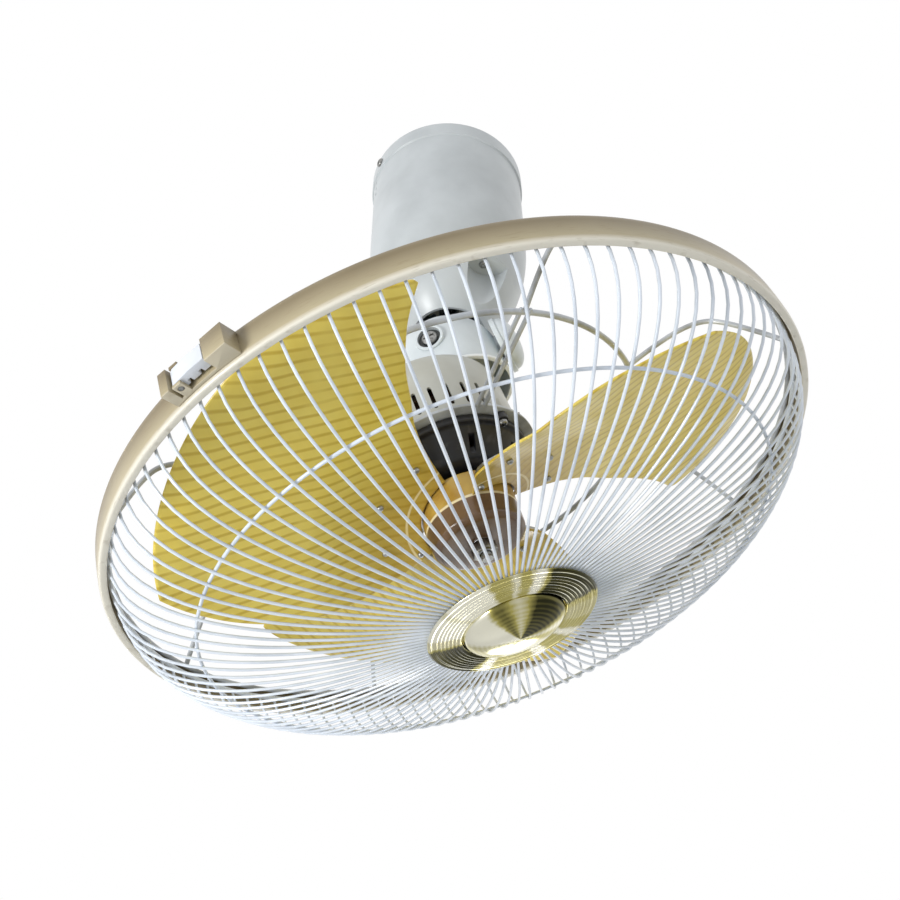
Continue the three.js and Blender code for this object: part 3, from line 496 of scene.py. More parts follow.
def blade_plastic():
    """Clear yellow plastic: amber towards the hub, with soft darker lines along the blade's length that are painted
    shadows of the guard wires, their wave also raising faint ridges in the bump, and a thin pale ring near the root
    that is a painted highlight. The piece's blade_place attribute holds the distance along and across the blade, in
    millimetres."""
    f = Finish("blade_plastic", Coat_Weight=0.3, Coat_Roughness=0.12, IOR=1.49)
    at = f.node("Attribute", {"attribute_name": "blade_place"}, output="Vector")
    along, across, _ = f.parts(at)
    wander = (f.noise(at, 0.014, 2.0) - 0.5) * 8
    # painted shadows of the guard wires: soft darker lines; the same wave gives faint ridges in the bump
    wave = ((across * 0.82 + along * 0.57 + wander) * (FULL_TURN / 7.5)).sine()
    line = wave.between(0.35, 1.0) * f.noise(at, 0.03, 2.0).between(0.2, 0.5)
    mottle = f.noise(at, 0.05, 4.0).between(0.3, 0.7)
    body = f.mix(paint(246, 224, 106), paint(240, 214, 90), mottle)
    body = f.mix(body, paint(206, 174, 44), line * 0.8)
    radius = (along * along + across * across) ** 0.5
    root = 1 - radius.between(46, 100)
    # painted highlight: a thin pale ring at 43 to 45 mm radius, for the lit edge of the hub's disc
    painted_ring_highlight = radius.between(43, 43.6) * (1 - radius.between(44.6, 45.2))
    body = f.mix(body, paint(178, 138, 52), root * 0.65)
    return f.shade(
        Base_Color=f.mix(body, paint(244, 226, 168), painted_ring_highlight),
        Roughness=0.28 + mottle * 0.14,
        Alpha=0.95 + root * 0.04,
        Normal=f.bump(wave, 0.05),
    )


def hub_plastic():
    """See-through plastic: amber above the hub's step, brown and nearly solid below it, where the cup's ribs are,
    the brown partly the hub's own tint and partly painted shade for the dark motor seen through it, with a pale
    line along the step that is a painted highlight."""
    f = Finish("hub_plastic", Coat_Weight=0.4, Coat_Roughness=0.1, IOR=1.49)
    at = f.place(HEAD)
    z = f.parts(at)[2]
    above = z.between(-12.5, -11)
    # painted highlight: a pale line along the step
    step = z.between(-13.6, -13) * (1 - z.between(-11.8, -11.2))
    cloud = f.noise(at, 0.06, 3.0).between(0.3, 0.7)
    # the brown is partly the hub's own tint and partly painted shade for the dark motor seen through it
    brown = f.mix(paint(124, 96, 68), paint(86, 64, 46), cloud)
    amber = f.mix(paint(202, 168, 76), paint(172, 130, 52), cloud)
    return f.shade(
        Base_Color=f.mix(f.mix(brown, amber, above), paint(246, 232, 190), step),
        Roughness=0.26 + f.noise(at, 0.3) * 0.12,
        Alpha=0.96 - above * 0.06,
        Normal=f.bump(f.noise(at, 0.25, 2.0), 0.05),
    )


def enamel(name, colour, worn, roughness, place=HEAD):
    """Sprayed enamel with a fine peel, worn paler in spots."""
    f = Finish(name, Coat_Weight=0.15, Coat_Roughness=0.3)
    at = f.place(place)
    worn_spots = f.noise(at, 0.16, 5.0).between(0.56, 0.72)
    return f.shade(
        Base_Color=f.mix(colour, worn, worn_spots * 0.5),
        Roughness=roughness + worn_spots * 0.15,
        Normal=f.bump(f.noise(at, 0.7, 3.0), 0.04),
    )


def plated_steel(name, colour, shadow, roughness, per_mm, place=ROOM, stretch=(1, 1, 1)):
    """Plated or ground steel: blotches of two tones that also change the gloss, and fine marks in the bump."""
    f = Finish(name, Metallic=1.0)
    at = f.place(place)
    blotch = f.noise(at, per_mm, 4.0, stretch)
    marks = f.noise(at, 2.2, 2.0, stretch)
    return f.shade(
        Base_Color=f.mix(colour, shadow, blotch.between(0.35, 0.68)),
        Roughness=roughness + (blotch - 0.5) * 0.2,
        Normal=f.bump(marks, 0.01),
    )


def laminated_steel():
    """A stack of stampings that shows as a line to the millimetre, lightly rusted at the edges."""
    f = Finish("core_steel", Metallic=0.6)
    at = f.place(HEAD)
    layers = (f.parts(at)[2] * FULL_TURN).sine()
    rust = f.noise(at, 0.2, 4.0).between(0.4, 0.66)
    return f.shade(
        Base_Color=f.mix(paint(104, 92, 80), paint(92, 60, 40), rust),
        Roughness=0.5 + rust * 0.25,
        Normal=f.bump(layers, 0.15),
    )


def wound_copper():
    """Enamelled winding wire: strands 0.9 mm apart that run round the axis, with varnish pooled between."""
    f = Finish("copper", Metallic=0.8, Coat_Weight=0.5, Coat_Roughness=0.2)
    at = f.place(HEAD)
    x, y, z = f.parts(at)
    radius = (x * x + y * y) ** 0.5
    strand = ((radius + z * 0.9 + f.noise(at, 0.15) * 1.5) * (FULL_TURN / 0.9)).sine()
    return f.shade(
        Base_Color=f.mix(paint(176, 98, 62), paint(96, 44, 24), strand.between(-1, 0.4)),
        Roughness=0.34 + f.noise(at, 0.3) * 0.2,
        Normal=f.bump(strand, 0.2),
    )


CANOPY_PLASTIC = moulded_plastic("canopy_plastic", paint(192, 198, 201), paint(176, 182, 185), 0.36)
COVER_PLASTIC = moulded_plastic("cover_plastic", paint(190, 192, 186), paint(172, 172, 162), 0.4, HEAD)
NECK_PLASTIC = neck_plastic()
LATCH_PLASTIC = moulded_plastic("latch_plastic", paint(220, 225, 232), paint(206, 211, 219), 0.36, HEAD)
NYLON = moulded_plastic("nylon", paint(232, 228, 212), paint(214, 206, 184), 0.45)
BAND_PLASTIC = band_plastic()
WIRE_COAT = wire_coat("guard_wire", paint(222, 230, 240), paint(196, 205, 216))
# a darker copy of the guard wire's coat: painted shade for the rear wires, which sit in shadow
SHADED_REAR_COAT = wire_coat("rear_wire_shaded", paint(196, 202, 210), paint(126, 128, 128))
# painted reflections on the cap's rim and dome: bright and dark wedges about the blade axis
RIM_PAINTED_REFLECTIONS = [
    (-146, 62, 0.6), (-150, 8, -0.3), (-97, 4, 0.4), (-80, 8, 0.6), (-46, 52, -0.5), (0, 24, 0.12),
    (32, 9, 0.55), (62, 10, 0.6), (106, 8, 0.6), (141, 54, -0.5), (178, 16, 0.2),
]
DOME_PAINTED_REFLECTIONS = [
    (-160, 56, 0.6), (-118, 18, -0.34), (-95, 14, 0.25), (-48, 62, -0.46), (0, 14, 0.35), (70, 80, 0.34),
    (150, 40, 0.2),
]
GOLD_RIM = gold_plate("gold_plate", 1.0, 0.012, RIM_PAINTED_REFLECTIONS, 2.5)
GOLD_DOME = gold_plate("gold_dome", 0.35, 0.004, DOME_PAINTED_REFLECTIONS, 6)
BLADE_PLASTIC = blade_plastic()
HUB_PLASTIC = hub_plastic()
BLACK_PAINT = enamel("black_paint", paint(30, 30, 33), paint(78, 76, 74), 0.42)
RUBBER = enamel("rubber", paint(34, 34, 34), paint(64, 62, 60), 0.75, ROOM)
ZINC_STEEL = plated_steel("zinc_steel", paint(186, 188, 188), paint(160, 163, 165), 0.38, 0.35)
SCREW_STEEL = plated_steel("screw_steel", paint(170, 170, 168), paint(120, 120, 118), 0.32, 0.5)
BRIGHT_STEEL = plated_steel("bright_steel", paint(206, 208, 210), paint(176, 178, 182), 0.2, 0.3, HEAD, (1, 1, 8))
CORE_STEEL = laminated_steel()
COPPER = wound_copper()


# ---- ceiling unit ---------------------------------------------------------------------------------------
def bowl(wall, rise, steps=44):
    """The canopy's bowl from mouth to shoulder: r = R cos(t)^(2/n) and depth = D sin(t)^(2/n)."""
    end = math.acos((MOUTH_R / CANOPY_R) ** (BOWL_BULGE / 2))
    t = np.linspace(end, 0, steps)
    r = CANOPY_R * np.cos(t) ** (2 / BOWL_BULGE) - wall
    return np.column_stack([r, SHOULDER_Z - BOWL_DEPTH * np.sin(t) ** (2 / BOWL_BULGE) + rise])


def canopy():
    """The shell is a turned section. A round column is let into its side for the pocket, with its own wall."""
    outside, inside = bowl(0, 0), bowl(CANOPY_WALL * 1.1, 1.2)[::-1]
    upper = softened(
        [
            (CANOPY_R, SHOULDER_Z),
            (CANOPY_R, COLLAR_LOW),
            (COLLAR_R, COLLAR_LOW + 0.8),
            (COLLAR_R, -0.5),
            (CANOPY_R - CANOPY_WALL, -0.5),
            (CANOPY_R - CANOPY_WALL, SHOULDER_Z),
        ],
        0.5,
        closed=False,
    )
    shell = mesh_of(turned(np.concatenate([outside, upper[1:-1], inside]), 160))
    low = outside[0, 1]
    full = turned(np.concatenate([[(0, low)], bowl(0.6, 0.4), [(0, SHOULDER_Z)]]), 160, closed=False)

    def column(radius, top):
        return placed(prism(circle(radius, 72), low - 9, top), around(POCKET_ANGLE, POCKET_R))

    def side_hole(angle, z, radius):
        return placed(prism(circle(radius, 20), -8, 14), around(angle, CANOPY_R, 0, z) @ OUTWARD)

    pocket_wall = shaped(mesh_of(column(POCKET_TOOL_R + 2, POCKET_TOP + 2)), "INTERSECT", full)
    shell = shaped(shell, "UNION", pocket_wall)
    holes = [side_hole(VENT_ANGLE, z, 1.5) for z in VENT_HEIGHTS]
    holes += [side_hole(angle, CANOPY_SCREW_Z, 2.4) for angle in CANOPY_SCREW_ANGLES]
    screw_hole = prism(circle(1.6, 20), POCKET_TOP - 2, POCKET_TOP + 6)
    screw_hole = placed(screw_hole, around(POCKET_ANGLE, POCKET_SCREW_R))
    return shaped(shell, "DIFFERENCE", together(column(POCKET_TOOL_R, POCKET_TOP), screw_hole, *holes))


def screw(head_r, head_h, shank_r, length):
    """A pan-head screw with its top at z = 0: the head's section is softened to a dome, the shank has its
    threads as a saw-toothed section about 0.8 mm to the tooth, and a cross is cut in the head."""
    teeth = max(int(length / 0.8), 1)
    thread = [
        (shank_r - 0.25 * (i % 2), -head_h - 0.3 - length * i / (2 * teeth)) for i in range(2 * teeth + 1)
    ]
    section = [(0, 0), (0.55 * head_r, 0), (0.92 * head_r, -0.35 * head_h), (head_r, -0.9 * head_h)]
    section += [(0.95 * head_r, -head_h), (shank_r, -head_h), *thread, (0, -head_h - 0.3 - length)]
    body = mesh_of(turned(softened(section, 0.35 * head_h, closed=False, steps=3), 40, closed=False))
    slot = prism(rectangle(1.3 * head_r, 0.24 * head_r), -0.55 * head_h, 1)
    return shaped(body, "DIFFERENCE", slot, placed(slot, around(math.pi / 2)))


def fixing(name, mesh, place, body, node):
    """A steel screw in its place."""
    piece(name, mesh, place, body, "screw_steel", SCREW_STEEL, node)


piece("canopy", canopy(), ROOM, "ceiling_unit", "canopy_plastic", CANOPY_PLASTIC, "canopy_shell")
for number, angle in enumerate(CANOPY_SCREW_ANGLES, 1):
    at = around(angle, COLLAR_R + 2.3, 0, CANOPY_SCREW_Z) @ OUTWARD
    fixing(f"canopy_fixing_{number}", screw(4, 2, 2, 7), at, "ceiling_unit", f"canopy_screw_{number}")
at = around(POCKET_ANGLE, POCKET_SCREW_R, 0, POCKET_TOP - 2.4) @ UPSIDE_DOWN
fixing("pocket_fixing", screw(3.4, 2.1, 1.3, 32), at, "ceiling_unit", "pocket_screw")


# ---- head: neck, motor and guards -----------------------------------------------------------------------
def neck():
    """A ball on a short cylinder, turned as one section; a round boss with a sunk face is raised on its side
    and a seat is cut for the pivot's cover."""
    mouth = math.asin(HOUSING_MOUTH_R / HOUSING_R)
    inner = HOUSING_R - HOUSING_WALL

    def arc(r, start, end, count):
        t = np.linspace(start, end, count)
        return np.column_stack([r * np.sin(t), r * np.cos(t)])

    section = [
        *softened([(inner, HOUSING_LOW), (HOUSING_R, HOUSING_LOW), (HOUSING_R, 0)], 0.8, closed=False)[:-1],
        *arc(HOUSING_R, math.pi / 2, mouth, 30),
        *arc(inner, mouth + 0.03, math.pi / 2 - 0.05, 20),
        (BEARING_TUBE_IN, 2),
        (BEARING_TUBE_IN, BEARING_TUBE_LOW),
        (BEARING_TUBE_OUT, BEARING_TUBE_LOW),
        (BEARING_TUBE_OUT, -2),
        (inner, -2),
    ]
    body = mesh_of(turned(section, 128))
    at_boss = around(BOSS_ANGLE) @ OUTWARD
    boss = softened([(0, 33), (BOSS_R, 33), (BOSS_R, BOSS_FACE), (0, BOSS_FACE)], 0.9, closed=False)
    recess = placed(prism(circle(BOSS_RECESS_R, 48), 40, 60), at_boss)
    screw_hole = placed(prism(circle(2.9, 20), 30, 60), at_boss)
    seat = placed(prism(circle(10, 40), 33, 60), around(CAP_ANGLE, 0, 0, COVER_DROP) @ OUTWARD)
    body = shaped(body, "UNION", placed(turned(boss, 48, closed=False), at_boss))
    return shaped(body, "DIFFERENCE", recess, screw_hole, seat)


def pivot_cover():
    """A low dome with a stepped rim, on a stub that plugs into the neck."""
    rim = softened([(0, 36), (9.5, 36), (9.5, 42), (22, 42), (22, 45.5), (20.6, 45.8)], 0.5, closed=False)
    t = np.linspace(0, np.pi / 2, 18)
    dome = np.column_stack([20.6 * np.cos(t) ** 0.9, 45.8 + 10.6 * np.sin(t) ** 0.9])
    return turned(np.concatenate([rim, dome[1:]]), 72, closed=False)


def ears(low, high):
    """Round lugs for the three bolts."""
    section = softened([(0, low), (EAR_R, low), (EAR_R, high), (0, high)], 0.7, closed=False)
    return [placed(turned(section, 32, closed=False), around(a, BOLT_R)) for a in BOLT_ANGLES]


def bolt_holes(low, high):
    return together(*(placed(prism(circle(2.6, 20), low, high), around(a, BOLT_R)) for a in BOLT_ANGLES))


def motor_cover():
    """A drawn cup with rounded shoulders, a bead at its lip, long slots round its side and a window."""
    r, low, top, wall = MOTOR_R, MOTOR_LOW, MOTOR_TOP, MOTOR_WALL
    section = softened(
        [
            (0, top - wall),
            (r - 9 - wall, top - wall),
            (r - 1.6 - wall, top - 9),
            (r - wall, low),
            (r, low),
            (r, low + 3.2),
            (r - 0.5, low + 3.8),
            (r - 1.6, top - 9),
            (r - 3.4, top - 3.4),
            (r - 9, top),
            (0, top),
        ],
        3,
        closed=False,
    )
    body = mesh_of(turned(section, 180, closed=False))
    slot_turns = [(i + 0.5) * FULL_TURN / SLOTS for i in range(SLOTS)]
    clear = [a for a in slot_turns if abs(math.sin((a - WINDOW_ANGLE) / 2)) > 0.26]
    slot = placed(prism(stadium(2.9, 19.5), -8, 8), OUTWARD @ around(math.pi / 2))
    slots = [placed(slot, around(a, r - 1, 0, low + 17)) for a in clear]
    window = placed(prism(rectangle(24, 24), -12, 12), around(WINDOW_ANGLE, r, 0, low + 8) @ OUTWARD)
    body = shaped(shaped(body, "DIFFERENCE", together(window, *slots)), "UNION", *ears(low, low + 9))
    return shaped(body, "DIFFERENCE", bolt_holes(low - 3, low + 7))


def front_bell():
    """A black pressed bell: a flat face, a shoulder and a sloping side, pierced by eight vents."""
    low, top, wall = BELL_LOW, BELL_TOP, BELL_WALL
    section = softened(
        [
            (13.3, low),
            (30, low),
            (38, low + 2.5),
            (51, top - 5.8),
            (55, top - 5.3),
            (55, top),
            (55 - wall, top),
            (36, low + 2.5 + wall),
            (17, low + wall),
            (17, low + 9),
            (13.3, low + 9),
        ],
        1.6,
    )
    body = mesh_of(turned(section, 144))
    vent = prism(softened(rectangle(9, 4.4), 1.4), -6, 6)
    vents = [placed(vent, around(a + math.pi / 24, 44, 0, low + 9)) for a in turns(8)]
    body = shaped(shaped(body, "DIFFERENCE", together(*vents)), "UNION", *ears(top - 5.5, top))
    return shaped(body, "DIFFERENCE", bolt_holes(top - 12, top + 2))


def band():
    """A channel bent to a ring: its outer wall bulges a little and turns in at both lips."""
    r, low = BAND_R, -BAND_HEIGHT
    outer = [(r - 0.9, low), (r - 0.1, low + 2.5), (r, -BAND_HEIGHT / 2), (r - 0.1, -2.5), (r - 0.9, 0)]
    section = softened(
        [
            (r - BAND_LIP, low),
            *outer,
            (r - BAND_LIP, 0),
            (r - BAND_LIP, -BAND_WALL),
            (r - BAND_WALL, -BAND_WALL),
            (r - BAND_WALL, low + BAND_WALL),
            (r - BAND_LIP, low + BAND_WALL),
        ],
        1.2,
    )
    return turned(section, 288)


def cage_line(steps):
    """The front wires' line, its stations evenly spaced: r = R cos(t)^(2/n), z = -start - depth sin(t)^(2/n)."""
    t = np.linspace(0.03, 1.443, 900)
    fine = np.column_stack([
        WIRE_RIM_R * np.cos(t) ** (2 / CAGE_BULGE),
        -CAGE_START - CAGE_DEPTH * np.sin(t) ** (2 / CAGE_BULGE),
    ])
    length = np.concatenate([[0], np.cumsum(np.linalg.norm(np.diff(fine, axis=0), axis=1))])
    even = np.linspace(0, length[-1], steps)
    return np.column_stack([np.interp(even, length, column) for column in fine.T])


def swept(profile, angles, aside=0.0):
    """Lines of one profile of (r, z), each in its own upright plane at an angle, moved aside from it."""
    a = np.asarray(angles)[:, None]
    r, z = np.asarray(profile, float).T
    aside = np.broadcast_to(aside, r.shape)
    lines = np.stack([r * np.cos(a) - aside * np.sin(a), r * np.sin(a) + aside * np.cos(a), z + 0 * a], axis=-1)
    return lines, np.stack([-np.sin(a), np.cos(a), 0 * a], axis=-1)[:, 0]


def front_cage():
    """Radial wires over three hoops: one in the band, one welded inside the wires and one under the cap."""
    line = cage_line(26)
    nearest = np.argmin(abs(line[:, 0] - MIDDLE_HOOP_R))
    run = unit(line[nearest + 1] - line[nearest - 1])
    inward = np.array([-run[1], run[0]]) * (WIRE_R + 0.9)
    middle = line[nearest] + inward * np.sign(inward[1])  # 0.15 mm of the two rods is sunk in the weld
    return together(
        rods(*swept(line, turns(WIRES) + math.pi / WIRES), WIRE_R),
        hoop(WIRE_RIM_R - 0.1, -CAGE_START - 4, RIM_ROD_R),
        hoop(*middle, MIDDLE_ROD_R),
        hoop(INNER_HOOP_R, -CAGE_START - CAGE_DEPTH + 0.35, INNER_ROD_R, 120),
    )


def rear_cage():
    """Eight spokes over a hoop and a rim loop; every other spoke is carried on to the motor's flange by a pair
    of struts that draw together."""
    spokes = rods(*swept(eased(SPOKE, 7), SPOKE_TURNS), SPOKE_ROD_R, 10)
    seat = (FLANGE_LOW + FLANGE_TOP) / 2
    line = [(HOOP_R + 1.5, HOOP_Z), (FLANGE_R + 3, seat + 0.4), (FLANGE_R - 2, seat)]
    apart = np.array([3.2, 2.7, 2.6])
    struts = [rods(*swept(line, SPOKE_TURNS[::2], side * apart), STRUT_ROD_R, 10) for side in (1, -1)]
    flange = softened(
        [(FLANGE_IN, FLANGE_LOW), (FLANGE_R, FLANGE_LOW), (FLANGE_R, FLANGE_TOP), (FLANGE_IN, FLANGE_TOP)], 0.6
    )
    hoops = hoop(HOOP_R, HOOP_Z, HOOP_ROD_R), hoop(WIRE_RIM_R, -3.6, RIM_ROD_R)
    return together(spokes, *struts, turned(flange, 144), *hoops)


def cap_rim():
    """A spun ring: a beaded edge, then shallow rounded ridges down to the dome's groove."""
    r = np.linspace(CAP_R - 4.2, DOME_R + 1.2, CAP_RIDGES * 8 + 1)
    phase = (np.arange(len(r)) % 8) / 8
    slope = np.linspace(2.3, 4.0, len(r))
    ridges = np.column_stack([r, CAP_Z - slope - 0.55 * np.sin(np.pi * phase)])
    edge = softened(
        [
            (CAP_R - 3, CAP_Z - 1.4),
            (CAP_R - 0.9, CAP_Z - 0.1),
            (CAP_R, CAP_Z - 1),
            (CAP_R - 1.6, CAP_Z - 2.5),
            (CAP_R - 3.4, CAP_Z - 2.0),
        ],
        0.5,
        closed=False,
    )
    inner = [(DOME_R + 0.2, CAP_Z - 3.4), (DOME_R, CAP_Z - 1.4)]
    return turned(np.concatenate([edge, ridges, inner]), 192)


def dome():
    """A shallow dome: height = H (1 - (r/R)^2.3)^0.62, on a short upright edge."""
    edge = DOME_R - 0.3
    r = np.linspace(edge, 0, 40)
    height = DOME_HEIGHT * (1 - (r / edge) ** 2.3) ** 0.62
    section = np.concatenate([[(0, CAP_Z - 1.4), (edge, CAP_Z - 1.4)], np.column_stack([r, CAP_Z - 3.4 - height])])
    return turned(section, 160, closed=False)


piece("neck", neck(), HEAD @ AT_SWIVEL, "head", "canopy_plastic", NECK_PLASTIC, "swivel_housing")
at = HEAD @ AT_SWIVEL @ around(CAP_ANGLE, 0, 0, COVER_DROP) @ OUTWARD
piece("pivot_cover", pivot_cover(), at, "head", "canopy_plastic", NECK_PLASTIC, "pivot_cap")
at = HEAD @ AT_SWIVEL @ around(BOSS_ANGLE, BOSS_FACE + 0.9) @ OUTWARD
fixing("pivot_fixing", screw(6.2, 3, 2.5, 9), at, "head", "pivot_screw")
piece("motor_cover", motor_cover(), HEAD, "head", "cover_plastic", COVER_PLASTIC, "motor_rear_cover")
piece("front_bell", front_bell(), HEAD, "head", "black_paint", BLACK_PAINT, "motor_front_bell")
for number, angle in enumerate(BOLT_ANGLES, 1):
    at = HEAD @ around(angle, BOLT_R, 0, BELL_TOP - 9) @ UPSIDE_DOWN
    fixing(f"motor_fixing_{number}", screw(3.2, 2.9, 2.2, 14.5), at, "head", f"motor_bolt_{number}")
piece("rear_cage", rear_cage(), HEAD, "head", "guard_wire", SHADED_REAR_COAT, "rear_guard")
piece("front_cage", front_cage(), HEAD, "head", "guard_wire", WIRE_COAT, "front_guard")
piece("band", band(), HEAD, "head", "band_plastic", BAND_PLASTIC, "guard_band")
piece("cap_rim", cap_rim(), HEAD, "head", "gold_plate", GOLD_RIM, "centre_cap", crease=60)
piece("dome", dome(), HEAD, "head", "gold_plate", GOLD_DOME, "cap_dome")
piece("latch_seat", rounded_copy("latch_base", 0.5), ROOM, "head", "band_plastic", BAND_PLASTIC, "latch_base")
piece("lever", rounded_copy("latch_lever", 0.4), ROOM, "latch", "latch_plastic", LATCH_PLASTIC, "latch_lever")


# ---- rotor ----------------------------------------------------------------------------------------------
def reading(table, r, column):
    """A blade edge's angle or height at radius r: the mean of three straight-line readings about r."""
    return np.mean([np.interp(r + d, table[:, 0], table[:, column]) for d in (-3, 0, 3)], axis=0)


def blade_surface(r, across):
    """The middle surface at a radius and a share of the way across, -1 at the trailing edge and 1 at the
    leading one: it rises evenly from edge to edge, hollowed a little between them."""
    low, high = reading(TRAILING, r, 1), reading(LEADING, r, 1)
    foot, top = reading(TRAILING, r, 2), reading(LEADING, r, 2)
    angle = np.radians((low + high) / 2 + (high - low) / 2 * across)
    height = (foot + top) / 2 + (top - foot) / 2 * across + HOLLOW * r * (1 - across**2)
    return np.stack([r * np.cos(angle), r * np.sin(angle), height], axis=-1)


def blade(turn):
    """Two skins of a screw surface, half a thickness either side of it, that close in a round along the edge.
    The rivets' holes are left to the arm's rivets, which fill them."""
    s = (1 - np.cos(np.linspace(0, np.pi, 90))) / 2
    c = np.sin(np.linspace(-np.pi / 2, np.pi / 2, 60))
    tip = TIP_R - np.where(c > 0, LEADING_DROP, TRAILING_DROP) * abs(c) ** 5
    r = ROOT_R + (tip[None] - ROOT_R) * s[:, None]
    rim = np.minimum(1 - abs(c[None]), np.minimum(s, 1 - s)[:, None] * 1.6)
    half = BLADE_THICK / 2 * np.sqrt(np.clip(1 - (1 - np.clip(rim / 0.02, 0, 1)) ** 2, 0, 1))
    middle = blade_surface(r, c[None])
    skins = [sheet(middle + side * half[..., None] * (0, 0, 1)) for side in (1, -1)]
    mesh = mesh_of(together(*skins))
    places = np.zeros(len(mesh.vertices) * 3, np.float32)
    mesh.vertices.foreach_get("co", places)
    mesh.attributes.new("blade_place", "FLOAT_VECTOR", "POINT").data.foreach_set("vector", places)
    mesh.transform(around(turn))
    return mesh


def blade_arm(turn):
    """A steel arm, a strip of the same surface behind the blade's root, with four round-headed rivets."""
    s, c = np.linspace(0, 1, 24)[:, None], np.linspace(-1, 1, 40)[None]
    r = HUB_R + 0.3 + (76 - 12 * c**2 - HUB_R) * s
    back = BLADE_THICK / 2 + 2.05
    middle = blade_surface(r, 0.94 * c)
    skins = [middle + (0, 0, back + side) for side in (-1, 1)]
    loops = [np.concatenate([p[0], p[1:, -1], p[-1, -2::-1], p[-2:0:-1, 0]]) for p in skins]
    patches = [sheet(skins[0]), sheet(skins[1]), sheet(np.stack(loops), wrap_columns=True)]
    for rivet_r, degrees in RIVETS:
        low, high = (float(reading(table, rivet_r, 1)) for table in (TRAILING, LEADING))
        x, y, face = blade_surface(np.array(float(rivet_r)), (2 * degrees - low - high) / (high - low))
        section = [(0, -3.9), (1.5, -3.6), (2.2, -2.8), (2.2, -1.2), (1.5, -1.2), (1.5, back), (0, back)]
        rivet = turned(softened(section, 0.5, closed=False), 24, closed=False)
        patches.append(placed(rivet, Matrix.Translation((x, y, face))))
    mesh = mesh_of(together(*patches))
    mesh.transform(around(turn))
    return mesh


def hub():
    """A cup with a rolled lip, a boss for the shaft and twelve ribs between them."""
    section = softened(
        [
            (SHAFT_HOLE_R, HUB_LOW),
            (HUB_R - 5, HUB_LOW),
            (HUB_R - 1.5, HUB_LOW + 3),
            (HUB_R, HUB_TOP),
            (HUB_R - 2.5, HUB_TOP),
            (HUB_R - 4.5, HUB_LOW + 4),
            (12, HUB_LOW + 3),
            (11, HUB_TOP - 6),
            (SHAFT_HOLE_R, HUB_TOP - 6),
        ],
        1.2,
    )
    cup = mesh_of(turned(section, 120))
    ribs = [placed(prism(rectangle(18.5, 1.8), HUB_LOW + 2, HUB_TOP - 10), around(a, 20)) for a in turns(12)]
    return shaped(cup, "UNION", *ribs)


piece("hub", hub(), HEAD, "rotor", "hub_plastic", HUB_PLASTIC, "blade_hub")
fixing("hub_fixing", rounded_copy("hub_nut", 0.5), ROOM, "rotor", "hub_nut")
for number, turn in enumerate(BLADE_TURNS, 1):
    skin, arm = f"blade_{number}", f"blade_arm_{number}"
    piece(f"blade_skin_{number}", blade(turn), HEAD, "rotor", "blade_plastic", BLADE_PLASTIC, skin, crease=60)
    piece(f"arm_{number}", blade_arm(turn), HEAD, "rotor", "zinc_steel", ZINC_STEEL, arm)


# ---- CAD solids that stay, with their finishes ----------------------------------------------------------
KEPT = {
    ZINC_STEEL: "ceiling_plate hanger_bracket orbit_frame orbit_motor",
    RUBBER: "cable_grommet",
    NYLON: "terminal_block drive_pinion orbit_gear",
    BLACK_PAINT: "run_capacitor",
    BRIGHT_STEEL: "orbit_bearing_upper orbit_bearing_lower orbit_crank swivel_bearing_upper swivel_bearing_lower"
    " shaft_bearing_rear shaft_bearing_front rotor_shaft",
    SCREW_STEEL: "journal_nut latch_pin",
    CORE_STEEL: "stator_core rotor_core",
    COPPER: "stator_winding_rear stator_winding_front",
}
for finish, names in KEPT.items():
    for name in names.split():
        NODES[name].data.materials.clear()
        NODES[name].data.materials.append(finish)


# ---- floor, light and camera ----------------------------------------------------------------------------
def studio_floor(height=-1.35, reach=5.0):
    """A pale sheet below the fan, with a faint mottle."""
    mesh = bpy.data.meshes.new("floor")
    corners = [(-reach, -reach, height), (reach, -reach, height), (reach, reach, height), (-reach, reach, height)]
    mesh.from_pydata(corners, [], [(0, 1, 2, 3)])
    f = Finish("floor_paper", Roughness=0.8)
    mottle = f.noise(f.place(), 0.01, 3.0)
    mesh.materials.append(f.shade(Base_Color=f.mix(paint(226, 226, 226), paint(216, 217, 218), mottle)))
    floor = bpy.data.objects.new("floor", mesh)
    SCENE.collection.objects.link(floor)


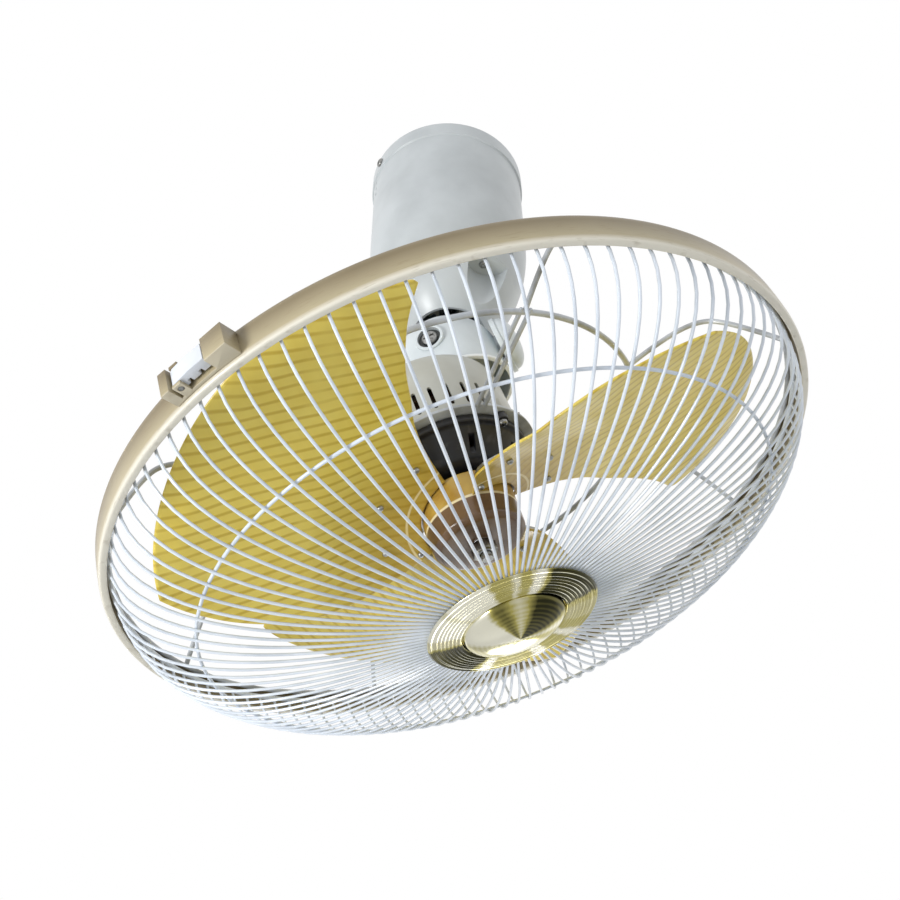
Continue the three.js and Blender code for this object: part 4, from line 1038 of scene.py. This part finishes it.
def white_room(ambient):
    """The world is white to the camera and in reflections, and lights the object at the ambient strength."""
    world = bpy.data.worlds.new("white_room")
    SCENE.world = world
    world.use_nodes = True
    tree = world.node_tree
    rays = tree.nodes.new("ShaderNodeLightPath")
    seen = rays.outputs["Is Camera Ray"]
    for ray in ("Is Glossy Ray", "Is Transmission Ray"):
        either = tree.nodes.new("ShaderNodeMath")
        either.operation = "MAXIMUM"
        tree.links.new(seen, either.inputs[0])
        tree.links.new(rays.outputs[ray], either.inputs[1])
        seen = either.outputs[0]
    strength = tree.nodes.new("ShaderNodeMapRange")
    strength.inputs["To Min"].default_value = ambient
    strength.inputs["To Max"].default_value = 1.0
    tree.links.new(seen, strength.inputs["Value"])
    tree.links.new(strength.outputs[0], tree.nodes["Background"].inputs["Strength"])
    tree.nodes["Background"].inputs["Color"].default_value = (1, 1, 1, 1)


def lamp(name, place, target, size, power):
    """A white disk lamp of a size in metres and a power in watts, facing the target."""
    light = bpy.data.lights.new(name, "AREA")
    light.shape, light.size, light.energy = "DISK", size, power
    made = bpy.data.objects.new(name, light)
    SCENE.collection.objects.link(made)
    made.location = place
    made.rotation_euler = (Vector(place) - Vector(target)).to_track_quat("Z", "Y").to_euler()


def photo_camera():
    """The camera at the photograph's viewing angle: a 39.8 mm lens close under the fan, looking up."""
    data = bpy.data.cameras.new("camera")
    data.sensor_width, data.lens = 36, 36 * 995.12 / 900
    data.shift_x, data.shift_y = 1.2 / 900, 0.5 / 900
    data.clip_start, data.clip_end = 0.01, 50
    camera = bpy.data.objects.new("camera", data)
    SCENE.collection.objects.link(camera)
    up, forward = (-0.0447, -0.6476, 0.7606), (0.0681, 0.7577, 0.6491)
    back = -Vector(forward).normalized()
    across = Vector(up).cross(back).normalized()
    turn = Matrix([across, back.cross(across), back]).transposed()
    camera.matrix_world = Matrix.Translation((-0.04896, -0.52637, -0.76023)) @ turn.to_4x4()
    SCENE.camera = camera


studio_floor()
white_room(0.74)
lamp("key", (-1.4, -0.8, -1.15), (0, 0, -0.38), 0.5, 20)
lamp("fill", (1.2, -1.0, -0.2), (0, 0, -0.3), 0.8, 1)
lamp("far", (0.5, 1.5, -0.7), (0, 0, -0.4), 0.5, 3)
photo_camera()
SCENE.view_settings.view_transform = "Standard"
